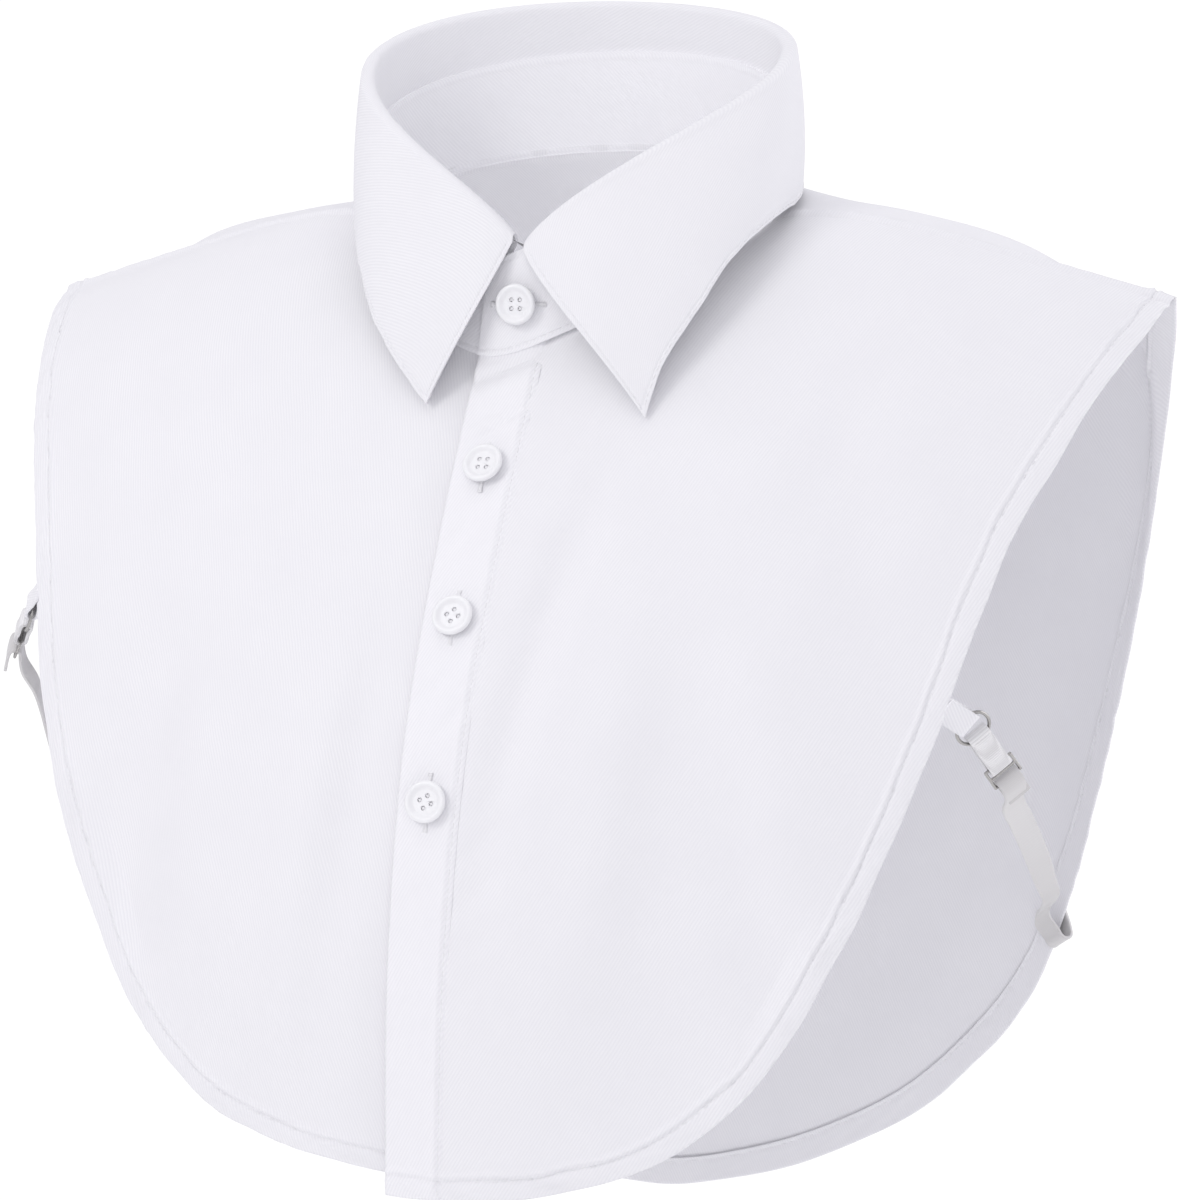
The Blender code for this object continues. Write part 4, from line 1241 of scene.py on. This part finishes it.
tiePlan = {
    "tabWidth": 7.4,
    "cloth": 0.9,
    "cell": 0.45,             # length of a mesh cell along a ribbon
    "curl": 0.10,             # how far a ribbon's borders drop
    "ringRadius": 5.0,
    "wire": 0.5,
    "bend": 1.5,
    "bandWidth": 6.6,
    "ribs": (0.75, 0.18),     # of the band: pitch and height
    "sliderWidth": 9.6,
    "sliderLength": 7.6,
    "bar": 0.9,
    "barFlat": 0.95,          # thickness of the slider's wire, as a share of bar
    "barRound": 0.45,
    "bulge": 0.9,             # how far a folded tie's layers lie apart, as a share of bend
    "strapTip": ((9.0, 0.8), (4.0, 1.4)),    # of the turned end: past the slider, behind it
    "strapLead": 2.5,
    "strapPast": 2.0,
    "strapBack": 1.7,
    "strapNear": 5.2,
    "strapTail": 11.0,
    "strapWidth": 7.4,
    "strapSteps": 24,
    "strapBroad": (0.90, 0.35, 0.25),
    "onward": (0.40, -0.30, -0.85),
    "left": dict(side=1, height=-139.0, ring=(140, -67.2, -144.8), slider=(145.1, -53.8, -157.8),
                 bars=(0.70, 0.38, 0.60),
                 run=((145.5, -43.8, -167.1), (142.9, -24.1, -175.3), (140.2, -2.4, -184.1),
                      (137.4, 19.2, -193), (135.5, 35.9, -201.5), (133.8, 50.6, -209.1)), foot=-221),
    "right": dict(side=-1, height=-117, ring=(148.3, -61.5, -124.6), slider=(155.6, -54.5, -133.0),
                  bars=(0.30, 0.75, 0.59),
                  run=((153.3, -50, -145.4), (151.8, -47, -154), (151.4, -44, -162.4), (151.6, -38, -172.5),
                       (149.5, -20, -191), (142.5, 22, -206)), foot=-222),
}
# from the ring's middle to a cloth's fold in it
ringChord = math.sqrt(tiePlan["ringRadius"] ** 2 - (tiePlan["tabWidth"] / 2) ** 2)


def ribbon(name, slot, look, path, across, width, closed=False, ribs=None):
    # flat band along a path of points, smoothed, its width along one direction at each
    path = np.asarray(path, float)
    across = np.array(np.broadcast_to(np.asarray(across, float), path.shape))
    if closed:
        path, across = (np.vstack([rows, rows[:1]]) for rows in (path, across))
    lengths = gone(path)
    total = lengths[-1]
    lengths = lengths / total
    slopes = np.gradient(path, lengths, axis=0)
    if closed:
        slopes[0] = slopes[-1] = (path[1] - path[-2]) / (lengths[1] + 1 - lengths[-2])

    def point(u, v):
        side = unit(spline(lengths, across, v))
        ahead = unit(spline(lengths, path, np.minimum(v + 0.002, 1), slopes)
                     - spline(lengths, path, np.maximum(v - 0.002, 0), slopes))
        lift = -tiePlan["curl"] * (np.abs(2 * u - 1)) ** 6
        if ribs:
            lift = lift + ribs[1] * np.abs(np.sin(math.pi * v * total / ribs[0]))
        spot = spline(lengths, path, v, slopes) + side * tall(width * (u - 0.5))
        return spot + np.cross(side, ahead) * tall(lift)

    cells = int(total / ribs[0] * 6) if ribs else int(total / tiePlan["cell"])
    thing = clothPiece(name, [slot], look, point, steps((0, 1, 10)), steps((0, 1, cells)), tiePlan["cloth"],
                       side=0, rim=0.2)
    if closed:
        bm = bmesh.new()
        bm.from_mesh(thing.data)
        bmesh.ops.remove_doubles(bm, verts=bm.verts, dist=0.00001)
        bm.to_mesh(thing.data)
        bm.free()
    return thing


def bend(centre, along, face, start, count=8):
    turns = [math.pi * step / count for step in range(count + 1)]
    return [centre + (face * start * math.cos(turn) + along * math.sin(turn)) * tiePlan["bend"]
            for turn in turns]


def wireRing(name, where, slot):
    bm = bmesh.new()
    bmesh.ops.create_circle(bm, segments=16, radius=tiePlan["wire"])
    turnAll(bm, 90, "X")
    bmesh.ops.translate(bm, verts=bm.verts, vec=(tiePlan["ringRadius"], 0, 0))
    spun(bm)
    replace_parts(placed(name, bm, "nickelWire", slot, where), slot)


def wireSlider(name, where, slot):
    # three-bar frame of flattened wire, rounded all over: a grid of 5 by 3 cells with two of them cut out
    plan = tiePlan
    long, wide, bar = plan["sliderLength"], plan["sliderWidth"], plan["bar"]
    lines = (0, bar, (long - bar) / 2, (long + bar) / 2, long - bar, long)
    sides = (0, bar, wide - bar, wide)
    bm = bmesh.new()
    bmesh.ops.create_grid(bm, x_segments=5, y_segments=3, size=1)
    middles = [(cell, cell.calc_center_median()) for cell in bm.faces]
    holes = [cell for cell, spot in middles
             if abs(spot.y) < 0.1 and round((spot.x + 1) * 2.5 - 0.5) in (1, 3)]
    bmesh.ops.delete(bm, geom=holes, context="FACES")
    for vert in bm.verts:
        column, row = round((vert.co.x + 1) * 2.5), round((vert.co.y + 1) * 1.5)
        vert.co = (lines[column] - long / 2, sides[row] - wide / 2, 0)
    thing = placed(name, bm, "nickelWire", slot, where)
    wall = thing.modifiers.new("wall", "SOLIDIFY")
    wall.thickness = bar * plan["barFlat"] * mm
    wall.offset = 0
    soft = thing.modifiers.new("soft", "BEVEL")
    soft.width = plan["barRound"] * mm
    soft.segments = 4
    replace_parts(thing, slot)


def onEdge(surface, side, height):
    # place across at which a surface's edge is at a height
    shares = side * np.linspace(0.3, 1, 400)
    line = surface(shares, like(shares, 1))
    return shares[int(np.argmin(np.abs(line[:, 2] - height)))]


def tab(name, plan, middle, axis):
    edge = one(front, onEdge(front, plan["side"], plan["height"]), 1)
    flat = unit(middle - edge - axis * axis.dot(middle - edge))
    across = np.cross(axis, flat)
    turn = middle - flat * ringChord
    out = unit(turn - edge - across * across.dot(turn - edge))
    face = np.cross(out, across)
    root = edge + out * 0.4 - np.array([plan["side"] * 1.2, 0, 0])
    path = [root + face * 0.55, root + (turn - root) * 0.4 + face * 0.9, *bend(turn, out, face, 1),
            root + (turn - root) * 0.4 - face * 0.9, root - face * 0.55]
    ribbon(f"tab_{name}_cloth", f"tab_{name}", "twillTab", path, across, tiePlan["tabWidth"])


def strap(name, plan, last, along, across, face):
    side = np.array([plan["side"], 1, 1])
    tail = [last + along * far - face * behind for far, behind in tiePlan["strapTip"]]
    turn = bend(last, -along, face, -1)
    lead = last + along * tiePlan["strapLead"] + face * tiePlan["bend"] * tiePlan["bulge"]
    run = [np.array(spot, float) * side for spot in plan["run"]]
    spot = onEdge(back, plan["side"], plan["foot"])
    edge = one(back, spot, 1)
    normal = normalAt(back, np.array([spot]), np.ones(1))[0]
    onward = np.array(tiePlan["onward"]) * side
    onward = unit(onward - normal * normal.dot(onward))
    layers = 2 * bodyPlan["cloth"] + bodyPlan["seamGap"]
    radius = layers / 2 + 2 * bodyPlan["seamGap"] + 0.5
    centre = edge + onward * tiePlan["strapPast"] - normal * layers / 2
    arc = [centre + (onward * math.sin(angle) - normal * math.cos(angle)) * radius
           for angle in np.linspace(0, math.pi, 9)]
    near = edge - onward * tiePlan["strapBack"] - normal * tiePlan["strapNear"]
    way = curve([turn[-1], lead, *run, near, arc[0]])
    shares = [step / tiePlan["strapSteps"] for step in range(1, tiePlan["strapSteps"] + 1)]
    path = tail + turn + [way(share)[0] for share in shares] + arc[1:]
    path.append(arc[-1] - onward * tiePlan["strapTail"])
    broad = np.array(tiePlan["strapBroad"]) * side
    finish = np.cross(normal, onward)
    finish = finish * math.copysign(1, finish.dot(broad))
    sides = [across] * (len(tail) + len(turn))
    for share in shares:
        # from the slider's direction to a broad one, and then flat on the back
        early, late = float(ease(share * 1.5)), float(ease((share - 0.35) / 0.65))
        leaning = across * (1 - early) + broad * early
        sides.append(unit(leaning * (1 - late) + finish * late))
    sides += [finish] * len(arc)
    ribbon(f"strap_{name}_satin", f"strap_{name}", "satinElastic", path, sides, tiePlan["strapWidth"])


def tie(name):
    plan = tiePlan[name]
    side = np.array([plan["side"], 1, 1])
    middle, buckle, across = (np.array(plan[part]) * side for part in ("ring", "slider", "bars"))
    along = unit(buckle - middle)
    across = unit(across - along * across.dot(along))
    face = np.cross(along, across)
    tab(name, plan, middle, face)
    wireRing(f"ring_{name}_wire", axes(middle * mm, along, across, face), f"ring_{name}")
    half = (tiePlan["sliderLength"] - tiePlan["bar"]) / 2
    start, first = middle + along * ringChord, buckle - along * half
    bulge = face * tiePlan["bend"] * tiePlan["bulge"]
    loop = [*bend(start, -along, face, 1), (start + first) / 2 - bulge,
            *bend(first, along, face, -1), (start + first) / 2 + bulge]
    ribbon(f"band_{name}_ribbed", f"band_{name}", "ribbedBand", loop, across, tiePlan["bandWidth"], True,
           tiePlan["ribs"])
    wireSlider(f"slider_{name}_wire", axes(buckle * mm, along, across, face), f"slider_{name}")
    strap(name, plan, buckle + along * half, along, across, face)
    print(name, "tie is on")


(leftFront, rightFront), (leftThread, rightThread) = buildFronts()
backCloth, backThread = buildBack()
placketCloth, placketThread = buildPlacket()
standCloth, leafCloth, collarThreads = buildCollar()
buildButtons()
tie("left")
tie("right")
